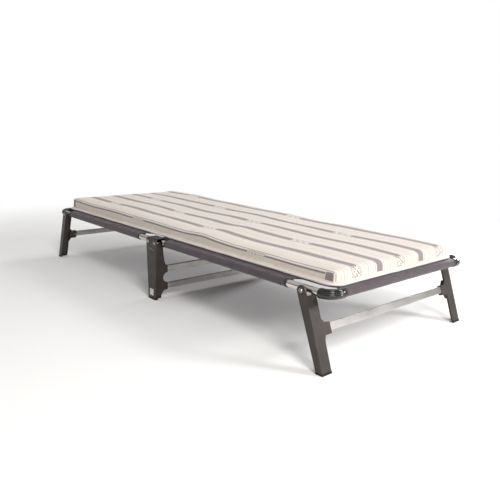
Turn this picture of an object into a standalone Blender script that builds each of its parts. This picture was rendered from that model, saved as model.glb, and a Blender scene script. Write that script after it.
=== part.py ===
"""Folding cot: a fabric deck on a tubular frame that folds in half, with a loose mattress.

X runs along the cot (foot end at +X), Y across it (near side at -Y), Z up, floor at z = 0.
Both halves hinge on a centre frame; a splayed pair of legs hinges under each end.
"""
import bmesh
import bpy
from math import acos, asin, cos, degrees, pi, radians, sin
from mathutils import Matrix

# ---- driving dimensions (metres) ------------------------------------------------------------
AXIS_HEIGHT = 0.247        # axis of all frame tubes above the floor
RAIL_Y = 0.380             # side rail axis from the cot's middle
END_RAIL_X = 0.950         # end rail axis from the cot's middle
HINGE_X = 0.0254           # hinge axis of each half from the cot's middle
LEG_PIVOT_X = 0.856        # pivot axis of each end leg pair
LEG_SPLAY = radians(20.6)  # lean of the end legs from vertical
GAP = 0.0003               # clearance kept between touching pieces

TUBE_RADIUS = 0.0127
TUBE_WALL = 0.0012
STUB = 0.0090              # rail tube past its hinge axis

SLEEVE_INNER = 0.0130      # sewn fabric sleeve round a tube
SLEEVE_OUTER = 0.0148
PANEL_LOW = 0.0132         # deck panel above the tube axis, underside and top
PANEL_HIGH = 0.0146
PANEL_INNER_X = 0.0300     # panel edge at the hinge
SLEEVE_START_X = {"foot": 0.0710, "head": 0.1290}   # side sleeve from here ...
SLEEVE_END_X = {"foot": 0.7750, "head": 0.8330}     # ... to here
HINGE_CUTOUT_Y = 0.0456    # depth of the cutout beside each hinge
CUTOUT_Y = 0.3460          # panel edge beside the bare tube at a corner

CAP_RADIUS = 0.0165        # moulded elbow at each corner
CAP_BEND = 0.0420
CAP_SIDE_X = END_RAIL_X - CAP_BEND
CAP_END_Y = 0.3250
CAP_SOCKET = 0.0100

LEG_OUTER_Y = 0.4095       # outer face of every leg
LEG_WALL = 0.0050
LEG_INNER_Y = 0.3645       # inner edge of an end leg
LEG_TOP_HALF = 0.0175      # half depth of an end leg at its pivot ...
LEG_FOOT_HALF = 0.0125     # ... and at its foot
LEG_WEB = 0.0030
LEG_LIP = 0.0080
PAD_HEIGHT = 0.0060

BAR_HEIGHT = 0.0260        # flat crossbar section
BAR_DEPTH = 0.0120
BAR_WALL = 0.0012
BAR_GRIP = 0.0150          # length of bar inside each leg socket
END_BAR_DOWN = 0.1290      # crossbar centre below the pivot, along the leg
END_BOSS_Y = 0.3290        # inner face of an end leg's socket

CENTRE_TOP_HALF = 0.0380   # half width of the centre leg's outer plate at the hinge ...
CENTRE_FOOT_HALF = 0.0260  # ... and at the floor
CENTRE_WEB_HALF = 0.0090
CENTRE_INNER_Y = 0.3605
CENTRE_INNER_WALL = 0.0040
CENTRE_BOSS_Y = 0.3350
CENTRE_BAR_Z = {"upper": 0.1250, "lower": 0.0480}
CENTRE_BOSS_HALF = 0.0155
COVER_LOW = 0.0163         # hinge cover above the tube axis
COVER_HIGH = 0.0183

PIN_RADIUS = 0.0030
PIN_HOLE = 0.00335
PIN_HEAD = 0.0065
SCREW_RADIUS = 0.0019
SCREW_HOLE = 0.0022
SCREW_HEAD = 0.0036

LATCH_HALF_WIDTH = 0.0180
LATCH_INNER = 0.0152
LATCH_OUTER = 0.0177
LATCH_REACH = 0.0660       # from rail axis to the far side of the other end rail

MATTRESS_X = 0.9250        # half sizes of the striped cover
MATTRESS_Y = 0.3330
MATTRESS_TOP = 0.3190
BASE_X = 0.9400            # half sizes of the base border
BASE_Y = 0.3500
BASE_LOW = 0.2625
BASE_HIGH = 0.2725
COVER_SKIN = 0.0025

SIDES = {"near": -1, "far": 1}
ENDS = {"head": -1, "foot": 1}
ALONG_X = (0.0, pi / 2, 0.0)


# ---- scene, materials and helpers -----------------------------------------------------------
for old in list(bpy.data.objects):
    bpy.data.objects.remove(old)


def collection(name):
    """A new collection in the scene."""
    made = bpy.data.collections.new(name)
    bpy.context.scene.collection.children.link(made)
    return made


cot = collection("folding_cot")
cutters = collection("cutters")


def material(name, colour, roughness, metallic=0.0):
    """A Principled BSDF material with one colour."""
    made = bpy.data.materials.new(name)
    made.use_nodes = True
    shader = made.node_tree.nodes["Principled BSDF"]
    shader.inputs["Base Color"].default_value = (*colour, 1.0)
    shader.inputs["Roughness"].default_value = roughness
    shader.inputs["Metallic"].default_value = metallic
    return made


CHROME = material("polished_tube", (0.78, 0.76, 0.74), 0.12, 1.0)
SATIN = material("satin_aluminium", (0.66, 0.64, 0.62), 0.35, 1.0)
STEEL = material("rivet_steel", (0.70, 0.69, 0.68), 0.25, 1.0)
PLASTIC = material("dark_moulded_plastic", (0.022, 0.018, 0.015), 0.45)
BLACK = material("black_plastic", (0.008, 0.008, 0.008), 0.35)
RUBBER = material("foot_rubber", (0.015, 0.014, 0.013), 0.80)
FABRIC = material("charcoal_fabric", (0.050, 0.042, 0.046), 0.75)
TICKING = material("ticking_cover", (0.80, 0.76, 0.72), 0.90)
BORDER = material("cream_border", (0.84, 0.80, 0.77), 0.90)
FOAM = material("foam_core", (0.85, 0.80, 0.60), 0.95)


def add_object(name, data, finish, parent=None, home=None):
    """Link an object to its collection, with its material and parent."""
    made = bpy.data.objects.new(name, data)
    (home or cot).objects.link(made)
    made.parent = parent
    if finish:
        data.materials.append(finish)
    return made


def pivot(name, location, tilt=0.0):
    """An empty on a joint axis, leaned about Y."""
    made = bpy.data.objects.new(name, None)
    made.location = location
    made.rotation_euler = (0.0, tilt, 0.0)
    made.empty_display_size = 0.03
    cot.objects.link(made)
    return made


def box(name, low, high, finish=None, parent=None, home=None):
    """A rectangular block between two corners."""
    shape = bmesh.new()
    bmesh.ops.create_cube(shape, size=1.0)
    size = [b - a for a, b in zip(low, high)]
    middle = [(a + b) / 2 for a, b in zip(low, high)]
    shape.transform(Matrix.Translation(middle) @ Matrix.Diagonal((*size, 1.0)))
    mesh = bpy.data.meshes.new(name)
    shape.to_mesh(mesh)
    shape.free()
    return add_object(name, mesh, finish, parent, home)


def arc(cx, cy, radius, start, end, steps):
    """Points along a circular arc; the angles are in degrees."""
    angles = [radians(start + (end - start) * i / steps) for i in range(steps + 1)]
    return [(cx + radius * cos(a), cy + radius * sin(a)) for a in angles]


PLANES = {  # how an outline's (u, v) and its thickness map onto X, Y and Z
    "XY": Matrix(((1, 0, 0), (0, 1, 0), (0, 0, 1))),
    "XZ": Matrix(((1, 0, 0), (0, 0, -1), (0, 1, 0))),
    "YZ": Matrix(((0, 0, 1), (1, 0, 0), (0, 1, 0))),
}


def plate(name, outline, plane, low, high, finish=None, parent=None, home=None):
    """A flat outline in one plane, as thick as low to high along the third axis."""
    curve = bpy.data.curves.new(name, "CURVE")
    curve.dimensions = "2D"
    curve.fill_mode = "BOTH"
    curve.extrude = abs(high - low) / 2
    spline = curve.splines.new("POLY")
    spline.points.add(len(outline) - 1)
    spline.use_cyclic_u = True
    for point, (u, v) in zip(spline.points, outline):
        point.co = (u, v, 0.0, 1.0)
    normal = PLANES[plane].col[2]
    turn = PLANES[plane].to_4x4()
    return from_curve(name, curve, Matrix.Translation(normal * sum(normal) * (low + high) / 2) @ turn,
                      finish, parent, home)


def from_curve(name, curve, matrix, finish, parent, home):
    """Turn a curve into a closed mesh object that can be cut and joined."""
    guide = bpy.data.objects.new(name + "_curve", curve)
    cutters.objects.link(guide)
    mesh = bpy.data.meshes.new_from_object(guide.evaluated_get(bpy.context.evaluated_depsgraph_get()))
    bpy.data.objects.remove(guide)
    shape = bmesh.new()
    shape.from_mesh(mesh)
    bmesh.ops.remove_doubles(shape, verts=shape.verts, dist=1e-6)
    shape.transform(matrix)
    bmesh.ops.recalc_face_normals(shape, faces=shape.faces)
    shape.to_mesh(mesh)
    shape.free()
    mesh.name = name
    mesh.materials.clear()
    return add_object(name, mesh, finish, parent, home)


def turned(name, profile, location, rotation, closed=False, steps=20, finish=None, parent=None, home=None):
    """A profile of (radius, height) points turned about the object's Z axis."""
    mesh = bpy.data.meshes.new(name)
    edges = [(i, i + 1) for i in range(len(profile) - 1)]
    if closed:
        edges.append((len(profile) - 1, 0))
    mesh.from_pydata([(r, 0.0, z) for r, z in profile], edges, [])
    made = add_object(name, mesh, finish, parent, home)
    made.location = location
    made.rotation_euler = rotation
    screw = made.modifiers.new("turn", "SCREW")
    screw.steps = steps
    screw.render_steps = steps
    screw.use_merge_vertices = True
    screw.merge_threshold = 1e-5
    screw.use_smooth_shade = True
    return made


def ring_profile(inner, outer, low, high):
    """Closed profile of a plain tube."""
    return [(outer, high), (outer, low), (inner, low), (inner, high)]


def rod_profile(radius, low, high):
    """Profile of a plain cylinder."""
    return [(0.0, high), (radius, high), (radius, low), (0.0, low)]


def outward(side):
    """Rotation that points an object's Z away from the middle on one side."""
    return (-side * pi / 2, 0.0, 0.0)


def boolean(target, tool, operation):
    """Cut or join a tool into a target, and keep the tool out of the render."""
    tool.hide_render = True
    tool.display_type = "WIRE"
    step = target.modifiers.new(operation.lower(), "BOOLEAN")
    step.operation = operation
    step.object = tool
    step.solver = "EXACT"


def cut(target, *tools):
    """Subtract every tool from the target."""
    for tool in tools:
        boolean(target, tool, "DIFFERENCE")


def join(target, *tools):
    """Add every tool to the target."""
    for tool in tools:
        boolean(target, tool, "UNION")


def mirror_x(outline, sign):
    """Flip an outline's first coordinate for the head end."""
    return [(sign * u, v) for u, v in outline]


def hole(name, radius, location, rotation, low, high, parent=None):
    """A round cutter along the rotated Z axis."""
    return turned(name, rod_profile(radius, low, high), location, rotation, steps=14,
                  parent=parent, home=cutters)


# ---- pins and screws ------------------------------------------------------------------------
def rivet(name, location, side, tail_y, parent):
    """A domed rivet through a leg and a rail, with its closed end at tail_y."""
    dome = 0.0025
    tail = 0.0014
    face = LEG_OUTER_Y + GAP
    profile = [(PIN_HEAD * cos(radians(a)), face + dome * sin(radians(a))) for a in (90, 60, 30)]
    profile[0] = (0.0, face + dome)
    profile += [(PIN_HEAD, face), (PIN_RADIUS, face), (PIN_RADIUS, tail_y)]
    profile += [(0.005, tail_y), (0.005, tail_y - tail), (0.0, tail_y - tail)]
    return turned(name, profile, location, outward(side), steps=14, finish=STEEL, parent=parent)


def screw_profile():
    """Pan head on top of a shank that runs down to a blunt tip."""
    head = 0.0022
    shank = 0.0070
    return [(0.0, head), (SCREW_HEAD * 0.7, head), (SCREW_HEAD, head * 0.5), (SCREW_HEAD, 0.0),
            (SCREW_RADIUS, 0.0), (SCREW_RADIUS, -shank), (0.0, -shank)]


def crossbar(name, low_x, middle_z, half_length, parent):
    """A flat hollow bar across the cot."""
    low_z = middle_z - BAR_HEIGHT / 2
    bar = box(name, (low_x, -half_length, low_z),
              (low_x + BAR_DEPTH, half_length, low_z + BAR_HEIGHT), SATIN, parent)
    bore = box(name + "_bore", (low_x + BAR_WALL, -half_length - 0.01, low_z + BAR_WALL),
               (low_x + BAR_DEPTH - BAR_WALL, half_length + 0.01, low_z + BAR_HEIGHT - BAR_WALL),
               parent=parent, home=cutters)
    cut(bar, bore)
    return bar


# ---- centre frame ---------------------------------------------------------------------------
def centre_web_outline(side):
    """Inner profile of the centre leg: sockets for both crossbars with a round notch between."""
    upper = CENTRE_BAR_Z["upper"]
    lower = CENTRE_BAR_Z["lower"]
    notch = (upper - lower) / 2 - CENTRE_BOSS_HALF
    middle = (upper + lower) / 2
    shelf = AXIS_HEIGHT - 0.010
    foot = PAD_HEIGHT + GAP + 0.0005
    tip = 0.3130
    head = CENTRE_INNER_Y + 0.0010
    points = [(LEG_OUTER_Y - 0.002, foot), (LEG_OUTER_Y - 0.002, AXIS_HEIGHT + 0.0152),
              (head, AXIS_HEIGHT + 0.0152), (head, AXIS_HEIGHT + 0.0129),
              (tip, AXIS_HEIGHT + 0.0129), (tip, shelf), (CENTRE_INNER_Y - 0.004, shelf)]
    points += [(0.3565, 0.195), (0.3515, 0.160), (0.3440, upper + CENTRE_BOSS_HALF + 0.003),
               (CENTRE_BOSS_Y + 0.002, upper + CENTRE_BOSS_HALF), (CENTRE_BOSS_Y, upper + CENTRE_BOSS_HALF - 0.002)]
    points += arc(CENTRE_BOSS_Y, middle, notch, 90, -90, 12)
    points += [(CENTRE_BOSS_Y, lower - CENTRE_BOSS_HALF + 0.002), (CENTRE_BOSS_Y + 0.002, lower - CENTRE_BOSS_HALF)]
    points += arc(0.3445, 0.0105, lower - CENTRE_BOSS_HALF - 0.0105, 90, 30, 4)
    points += [(0.3700, foot)]
    return mirror_x(points, side)


def build_centre_leg(label, side):
    """One centre leg: outer plate, web with sockets, and the inner wall of the hinge housing."""
    y_out = side * LEG_OUTER_Y
    y_in = side * (LEG_OUTER_Y - LEG_WALL)
    top = AXIS_HEIGHT + 0.0158
    corner = 0.010
    outline = [(-CENTRE_FOOT_HALF, PAD_HEIGHT + GAP), (CENTRE_FOOT_HALF, PAD_HEIGHT + GAP)]
    outline += arc(CENTRE_TOP_HALF - corner, top - corner, corner, 0, 90, 4)
    outline += arc(corner - CENTRE_TOP_HALF, top - corner, corner, 90, 180, 4)
    leg = plate(f"centre_leg_{label}", outline, "XZ", y_in, y_out, PLASTIC)
    edge = leg.modifiers.new("edge", "BEVEL")
    edge.width = 0.0012
    edge.segments = 2
    edge.limit_method = "ANGLE"
    web = plate(f"centre_web_{label}", centre_web_outline(side), "YZ", -CENTRE_WEB_HALF, CENTRE_WEB_HALF,
                home=cutters)
    wall_half = 0.0340
    wall_tip = 0.0060
    wall_low = AXIS_HEIGHT - 0.018
    wall_top = top - 0.0010
    wall_outline = [(-wall_tip, wall_low - 0.012), (wall_tip, wall_low - 0.012), (wall_half, wall_low),
                    (wall_half, wall_top), (-wall_half, wall_top), (-wall_half, wall_low)]
    wall = plate(f"centre_wall_{label}", wall_outline, "XZ", side * CENTRE_INNER_Y,
                 side * (CENTRE_INNER_Y + CENTRE_INNER_WALL), home=cutters)
    join(leg, web, wall)
    for name, z in CENTRE_BAR_Z.items():
        low = (-BAR_DEPTH / 2 - GAP, CENTRE_BOSS_Y - 0.02, z - BAR_HEIGHT / 2 - GAP)
        high = (BAR_DEPTH / 2 + GAP, CENTRE_BOSS_Y + BAR_GRIP + GAP, z + BAR_HEIGHT / 2 + GAP)
        ends = sorted((side * low[1], side * high[1]))
        socket = box(f"centre_socket_{name}_{label}", (low[0], ends[0], low[2]), (high[0], ends[1], high[2]),
                     home=cutters)
        screw_hole = hole(f"centre_screw_hole_{name}_{label}", SCREW_HOLE,
                          (-CENTRE_WEB_HALF, side * (CENTRE_BOSS_Y + BAR_GRIP / 2), z), ALONG_X, -0.01, 0.01)
        cut(leg, socket, screw_hole)
    for end in ENDS.values():
        cut(leg, hole(f"centre_pin_hole_{label}_{end}", PIN_HOLE, (end * HINGE_X, 0.0, AXIS_HEIGHT),
                      outward(side), CENTRE_INNER_Y - 0.01, LEG_OUTER_Y + 0.01))
    return leg


def centre_pad_outline(side):
    """T-shaped footprint of a centre leg, with room beside the stem for the folded rails."""
    wide = CENTRE_FOOT_HALF + 0.0005
    stem = CENTRE_WEB_HALF + 0.0005
    shoulder = RAIL_Y + SLEEVE_OUTER + 0.0007
    points = [(-stem, 0.3690), (stem, 0.3690), (stem, shoulder), (wide, shoulder),
              (wide, LEG_OUTER_Y + 0.0005), (-wide, LEG_OUTER_Y + 0.0005), (-wide, shoulder), (-stem, shoulder)]
    return [(x, side * y) for x, y in points]


def build_centre_frame():
    """Everything that stays still while the halves fold."""
    for label, side in SIDES.items():
        build_centre_leg(label, side)
        plate(f"centre_foot_pad_{label}", centre_pad_outline(side), "XY", 0.0, PAD_HEIGHT, RUBBER)
        ends = sorted((side * CENTRE_INNER_Y, side * LEG_OUTER_Y))
        cover = box(f"hinge_cover_{label}", (-0.0360, ends[0], AXIS_HEIGHT + COVER_LOW),
                    (0.0360, ends[1], AXIS_HEIGHT + COVER_HIGH), BLACK)
        rim = cover.modifiers.new("rim", "BEVEL")
        rim.width = 0.0008
        rim.segments = 2
        for end_name, end in ENDS.items():
            rivet(f"hinge_pin_{end_name}_{label}", (end * HINGE_X, 0.0, AXIS_HEIGHT), side,
                  CENTRE_INNER_Y - GAP, None)
    half = CENTRE_BOSS_Y + BAR_GRIP
    for name, z in CENTRE_BAR_Z.items():
        bar = crossbar(f"centre_bar_{name}", -BAR_DEPTH / 2, z, half, None)
        for label, side in SIDES.items():
            y = side * (CENTRE_BOSS_Y + BAR_GRIP / 2)
            cut(bar, hole(f"centre_bar_hole_{name}_{label}", SCREW_HOLE, (-BAR_DEPTH / 2, y, z), ALONG_X,
                          -0.003, 0.003))
            turned(f"centre_screw_{name}_{label}", screw_profile(), (-CENTRE_WEB_HALF - GAP, y, z),
                   (0.0, -pi / 2, 0.0), steps=10, finish=STEEL)
    strip_y = RAIL_Y - HINGE_CUTOUT_Y + 0.0003
    strip_x = PANEL_INNER_X - GAP
    box("deck_centre_strip", (-strip_x, -strip_y, AXIS_HEIGHT + PANEL_LOW),
        (strip_x, strip_y, AXIS_HEIGHT + PANEL_HIGH), FABRIC)


# ---- deck halves ----------------------------------------------------------------------------
def panel_outline(end_name):
    """Half deck in plan, with a round cutout at each hinge and a long one at each corner."""
    end_x = SLEEVE_END_X[end_name]
    reach = SLEEVE_START_X[end_name] - HINGE_X
    first = acos((PANEL_INNER_X - HINGE_X) / reach)
    angles = [first * (1 - i / 8) for i in range(9)]
    edge = [(HINGE_X + reach * cos(a), RAIL_Y - HINGE_CUTOUT_Y * sin(a)) for a in angles]
    turn = 0.0340
    for i in range(7):
        angle = radians(15 * i)
        edge.append((end_x + turn * (1 - cos(angle)), RAIL_Y - (RAIL_Y - CUTOUT_Y) * sin(angle)))
    stop_y = CAP_END_Y - 0.0015
    edge += [(END_RAIL_X - 0.020, CUTOUT_Y - 0.008), (END_RAIL_X - 0.0125, stop_y), (END_RAIL_X, stop_y)]
    return edge + [(x, -y) for x, y in reversed(edge)]


def build_deck(end_name, sign, hinge):
    """Fabric panel with the sleeves sewn round both side rails and the end rail."""
    base = sign * HINGE_X
    outline = [(sign * x - base, y) for x, y in panel_outline(end_name)]
    deck = plate(f"{end_name}_deck", outline, "XY", PANEL_LOW, PANEL_HIGH, FABRIC, hinge)
    span = sorted((sign * SLEEVE_START_X[end_name] - base, sign * SLEEVE_END_X[end_name] - base))
    for label, side in SIDES.items():
        sleeve = turned(f"{end_name}_sleeve_{label}", ring_profile(SLEEVE_INNER, SLEEVE_OUTER, *span),
                        (0.0, side * RAIL_Y, 0.0), ALONG_X, closed=True, parent=hinge, home=cutters)
        join(deck, sleeve)
    reach = CAP_END_Y - 0.0015
    end_sleeve = turned(f"{end_name}_sleeve_end", ring_profile(SLEEVE_INNER, SLEEVE_OUTER, -reach, reach),
                        (sign * END_RAIL_X - base, 0.0, 0.0), outward(1), closed=True, parent=hinge, home=cutters)
    join(deck, end_sleeve)
    return deck


def build_side_rail(end_name, sign, label, side, hinge):
    """Side rail tube with its hinge hole, leg pivot hole and the slot on top."""
    base = sign * HINGE_X
    inner_end = sign * (HINGE_X - STUB) - base
    outer_end = sign * (CAP_SIDE_X + CAP_SOCKET - GAP) - base
    span = sorted((inner_end, outer_end))
    bore = TUBE_RADIUS - TUBE_WALL
    name = f"{end_name}_side_rail_{label}"
    rail = turned(name, ring_profile(bore, TUBE_RADIUS, *span), (0.0, side * RAIL_Y, 0.0), ALONG_X,
                  closed=True, finish=CHROME, parent=hinge)
    leg_x = sign * LEG_PIVOT_X - base
    for key, x in (("hinge", 0.0), ("leg", leg_x)):
        cut(rail, hole(f"{name}_{key}_hole", PIN_HOLE, (x, 0.0, 0.0), outward(side),
                       RAIL_Y - 0.02, RAIL_Y + 0.02, parent=hinge))
    slot_half_width = 0.0035
    slot_half_length = 0.0190
    outline = arc(slot_half_length, 0.0, slot_half_width, -90, 90, 4)
    outline += arc(-slot_half_length, 0.0, slot_half_width, 90, 270, 4)
    outline = [(x + leg_x + sign * 0.004, y + side * RAIL_Y) for x, y in outline]
    cut(rail, plate(name + "_slot", outline, "XY", 0.004, 0.020, parent=hinge, home=cutters))
    plug_span = sorted((inner_end, inner_end + sign * 0.004))
    turned(f"{end_name}_rail_plug_{label}", rod_profile(bore - GAP, *plug_span),
           (0.0, side * RAIL_Y, 0.0), ALONG_X, steps=20, finish=BLACK, parent=hinge)


def build_corner_cap(end_name, sign, label, side, hinge):
    """Moulded elbow that takes the side rail at one end and the end rail at the other."""
    base = sign * HINGE_X
    centre = (CAP_SIDE_X, RAIL_Y - CAP_BEND)
    route = arc(*centre, CAP_BEND, 90, 0, 8)
    route.append((END_RAIL_X, CAP_END_Y))
    curve = bpy.data.curves.new("elbow", "CURVE")
    curve.dimensions = "3D"
    curve.bevel_depth = CAP_RADIUS
    curve.bevel_resolution = 4
    curve.use_fill_caps = True
    spline = curve.splines.new("POLY")
    spline.points.add(len(route) - 1)
    for point, (x, y) in zip(spline.points, route):
        point.co = (sign * x - base, side * y, 0.0, 1.0)
    cap = from_curve(f"{end_name}_corner_cap_{label}", curve, Matrix(), BLACK, hinge, None)
    socket = TUBE_RADIUS + GAP
    side_end = sign * CAP_SIDE_X - base
    span = sorted((side_end - sign * 0.02, side_end + sign * CAP_SOCKET))
    cut(cap, turned(f"{cap.name}_side_socket", rod_profile(socket, *span), (0.0, side * RAIL_Y, 0.0), ALONG_X,
                    parent=hinge, home=cutters),
        turned(f"{cap.name}_end_socket", rod_profile(socket, CAP_END_Y - 0.02, CAP_END_Y + CAP_SOCKET),
               (sign * END_RAIL_X - base, 0.0, 0.0), outward(side), parent=hinge, home=cutters))


def build_half(end_name, sign):
    """One half of the cot: tubes, corner caps, deck fabric and the pins for its legs."""
    base = sign * HINGE_X
    hinge = pivot(f"{end_name}_hinge", (base, 0.0, AXIS_HEIGHT))
    build_deck(end_name, sign, hinge)
    reach = CAP_END_Y + CAP_SOCKET - GAP
    turned(f"{end_name}_end_rail", ring_profile(TUBE_RADIUS - TUBE_WALL, TUBE_RADIUS, -reach, reach),
           (sign * END_RAIL_X - base, 0.0, 0.0), outward(1), closed=True, finish=CHROME, parent=hinge)
    for label, side in SIDES.items():
        build_side_rail(end_name, sign, label, side, hinge)
        build_corner_cap(end_name, sign, label, side, hinge)
        rivet(f"{end_name}_leg_pin_{label}", (sign * LEG_PIVOT_X - base, 0.0, 0.0), side,
              RAIL_Y - TUBE_RADIUS - GAP, hinge)


# ---- end legs -------------------------------------------------------------------------------
def leg_half(down):
    """Half depth of an end leg at a distance below its pivot."""
    return LEG_TOP_HALF + (LEG_FOOT_HALF - LEG_TOP_HALF) * down / (AXIS_HEIGHT / cos(LEG_SPLAY))


def leg_down(x, height):
    """Distance below the pivot where a line x beside the leg's middle reaches a height."""
    return (AXIS_HEIGHT - height + x * sin(LEG_SPLAY)) / cos(LEG_SPLAY)


def inside_outline(depth):
    """Side view of the space inside an end leg, up to depth from its outward face."""
    stop_height = AXIS_HEIGHT - TUBE_RADIUS - 0.0005
    x_top = leg_half(0.020)
    x_foot = leg_half(0.258)
    clear = 0.030
    return [(x_foot - depth, -leg_down(x_foot - depth, -0.010)),
            (x_top - depth, -leg_down(x_top - depth, stop_height)),
            (clear, -leg_down(clear, stop_height)), (clear, clear), (-clear, clear),
            (-clear, -leg_down(-clear, -0.010))]


def gusset_outline():
    """Flared socket on the inner side of an end leg, seen along the cot."""
    top = END_BAR_DOWN - BAR_HEIGHT / 2 - 0.003
    low = END_BAR_DOWN + BAR_HEIGHT / 2 + 0.009
    root = LEG_INNER_Y + 0.0005
    return [(root, -(top - 0.017)), (root - 0.013, -top), (END_BOSS_Y + 0.002, -top),
            (END_BOSS_Y, -(top + 0.002)), (END_BOSS_Y, -(low - 0.003)), (END_BOSS_Y + 0.003, -low),
            (root - 0.008, -low), (root - 0.003, -(low + 0.006)), (root, -(low + 0.018))]


def build_end_leg(end_name, sign, label, side, leg_pivot):
    """One end leg: an angle section with a lip, a pivot hub and the socket for the crossbar."""
    name = f"{end_name}_leg_{label}"
    foot_height = PAD_HEIGHT + GAP
    x_foot = leg_half(0.258)
    outline = arc(0.0, 0.0, LEG_TOP_HALF, 0, 180, 10)
    outline += [(-x_foot, -leg_down(-x_foot, foot_height)), (x_foot, -leg_down(x_foot, foot_height))]
    wall_y = LEG_OUTER_Y - LEG_WALL
    leg = plate(name, mirror_x(outline, sign), "XZ", side * LEG_INNER_Y, side * LEG_OUTER_Y, PLASTIC, leg_pivot)
    edge = leg.modifiers.new("edge", "BEVEL")
    edge.width = 0.0010
    edge.segments = 2
    edge.limit_method = "ANGLE"
    lip_y = LEG_INNER_Y + 0.0030
    channel = plate(name + "_channel", mirror_x(inside_outline(LEG_WEB), sign), "XZ", side * lip_y,
                    side * wall_y, parent=leg_pivot, home=cutters)
    mouth = plate(name + "_mouth", mirror_x(inside_outline(LEG_LIP), sign), "XZ", side * (LEG_INNER_Y - 0.010),
                  side * (lip_y + 0.001), parent=leg_pivot, home=cutters)
    cut(leg, channel, mouth)
    face = leg_half(END_BAR_DOWN)
    back = face - BAR_DEPTH - 0.0045
    boss = plate(name + "_boss", mirror_x(gusset_outline(), side), "YZ", sign * back, sign * (face - 0.0002),
                 parent=leg_pivot, home=cutters)
    hub = turned(name + "_hub", rod_profile(0.011, RAIL_Y + TUBE_RADIUS + 0.0005, wall_y + 0.002),
                 (0.0, 0.0, 0.0), outward(side), steps=16, parent=leg_pivot, home=cutters)
    join(leg, boss, hub)
    bar_x = bar_low_x()
    xs = sorted((sign * (bar_x - GAP), sign * (bar_x + BAR_DEPTH + GAP)))
    ys = sorted((side * (END_BOSS_Y - 0.02), side * (END_BOSS_Y + BAR_GRIP + GAP)))
    socket = box(name + "_socket", (xs[0], ys[0], -END_BAR_DOWN - BAR_HEIGHT / 2 - GAP),
                 (xs[1], ys[1], -END_BAR_DOWN + BAR_HEIGHT / 2 + GAP), parent=leg_pivot, home=cutters)
    screw_y = side * (END_BOSS_Y + BAR_GRIP / 2)
    screw_hole = hole(name + "_screw_hole", SCREW_HOLE, (sign * back, screw_y, -END_BAR_DOWN), ALONG_X,
                      -0.004, 0.004, parent=leg_pivot)
    pin_hole = hole(name + "_pin_hole", PIN_HOLE, (0.0, 0.0, 0.0), outward(side),
                    RAIL_Y, LEG_OUTER_Y + 0.01, parent=leg_pivot)
    cut(leg, socket, screw_hole, pin_hole)
    turned(f"{end_name}_crossbar_screw_{label}", screw_profile(), (sign * (back - GAP), screw_y, -END_BAR_DOWN),
           (0.0, -sign * pi / 2, 0.0), steps=10, finish=STEEL, parent=leg_pivot)


def bar_low_x():
    """Inward face of an end crossbar, beside the leg's middle line."""
    return leg_half(END_BAR_DOWN) - BAR_DEPTH - 0.0020


def build_foot_pad(end_name, sign, label, side):
    """Flat rubber shoe under an end leg, with the leg's angle-section footprint."""
    x_foot = leg_half(0.258)
    middle = LEG_PIVOT_X + (AXIS_HEIGHT - PAD_HEIGHT / 2) * sin(LEG_SPLAY) / cos(LEG_SPLAY)
    half = x_foot / cos(LEG_SPLAY) + 0.0005
    web = (LEG_WEB + 0.003) / cos(LEG_SPLAY)
    rim = LEG_OUTER_Y + 0.0005
    wall_y = LEG_OUTER_Y - LEG_WALL
    outline = [(-half, wall_y), (-half, rim), (half, rim), (half, LEG_INNER_Y), (half - web, LEG_INNER_Y),
               (half - web, wall_y)]
    outline = [(sign * (middle + x), side * y) for x, y in outline]
    return plate(f"{end_name}_leg_pad_{label}", outline, "XY", 0.0, PAD_HEIGHT, RUBBER)


def build_end_legs(end_name, sign):
    """The splayed leg pair under one end, with its crossbar, screws and rubber shoes."""
    leg_pivot = pivot(f"{end_name}_leg_axis", (sign * LEG_PIVOT_X, 0.0, AXIS_HEIGHT), -sign * LEG_SPLAY)
    low_x = bar_low_x()
    if sign < 0:
        low_x = -low_x - BAR_DEPTH
    half = END_BOSS_Y + BAR_GRIP
    bar = crossbar(f"{end_name}_crossbar", low_x, -END_BAR_DOWN, half, leg_pivot)
    for label, side in SIDES.items():
        build_end_leg(end_name, sign, label, side, leg_pivot)
        build_foot_pad(end_name, sign, label, side)
        inner_face = sign * bar_low_x()
        cut(bar, hole(f"{bar.name}_hole_{label}", SCREW_HOLE,
                      (inner_face, side * (END_BOSS_Y + BAR_GRIP / 2), -END_BAR_DOWN), ALONG_X, -0.003, 0.003,
                      parent=leg_pivot))


# ---- latch ----------------------------------------------------------------------------------
def build_latch():
    """Clip on the head end rail that hooks round the foot end rail when the cot is folded."""
    axis = pivot("fold_latch_axis", (-END_RAIL_X, 0.0, AXIS_HEIGHT))
    thick = LATCH_OUTER - LATCH_INNER
    meet = degrees(asin(-LATCH_INNER / LATCH_OUTER))
    lip = 0.0110
    outline = arc(0.0, 0.0, LATCH_INNER, 190, 398, 18)
    outline += arc(0.0, 0.0, LATCH_OUTER, 38, meet, 9)
    outline += [(LATCH_REACH, -LATCH_INNER), (LATCH_REACH, -LATCH_INNER + lip),
                (LATCH_REACH + thick, -LATCH_INNER + lip), (LATCH_REACH + thick, -LATCH_OUTER)]
    outline += arc(0.0, 0.0, LATCH_OUTER, 270, 190, 7)
    return plate("fold_latch", outline, "XZ", -LATCH_HALF_WIDTH, LATCH_HALF_WIDTH, BLACK, axis)


# ---- mattress -------------------------------------------------------------------------------
def rounded_rectangle(half_x, half_y, corner):
    """Outline of a rectangle with round corners."""
    points = arc(half_x - corner, half_y - corner, corner, 0, 90, 6)
    points += arc(corner - half_x, half_y - corner, corner, 90, 180, 6)
    points += arc(corner - half_x, corner - half_y, corner, 180, 270, 6)
    points += arc(half_x - corner, corner - half_y, corner, 270, 360, 6)
    return points


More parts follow.
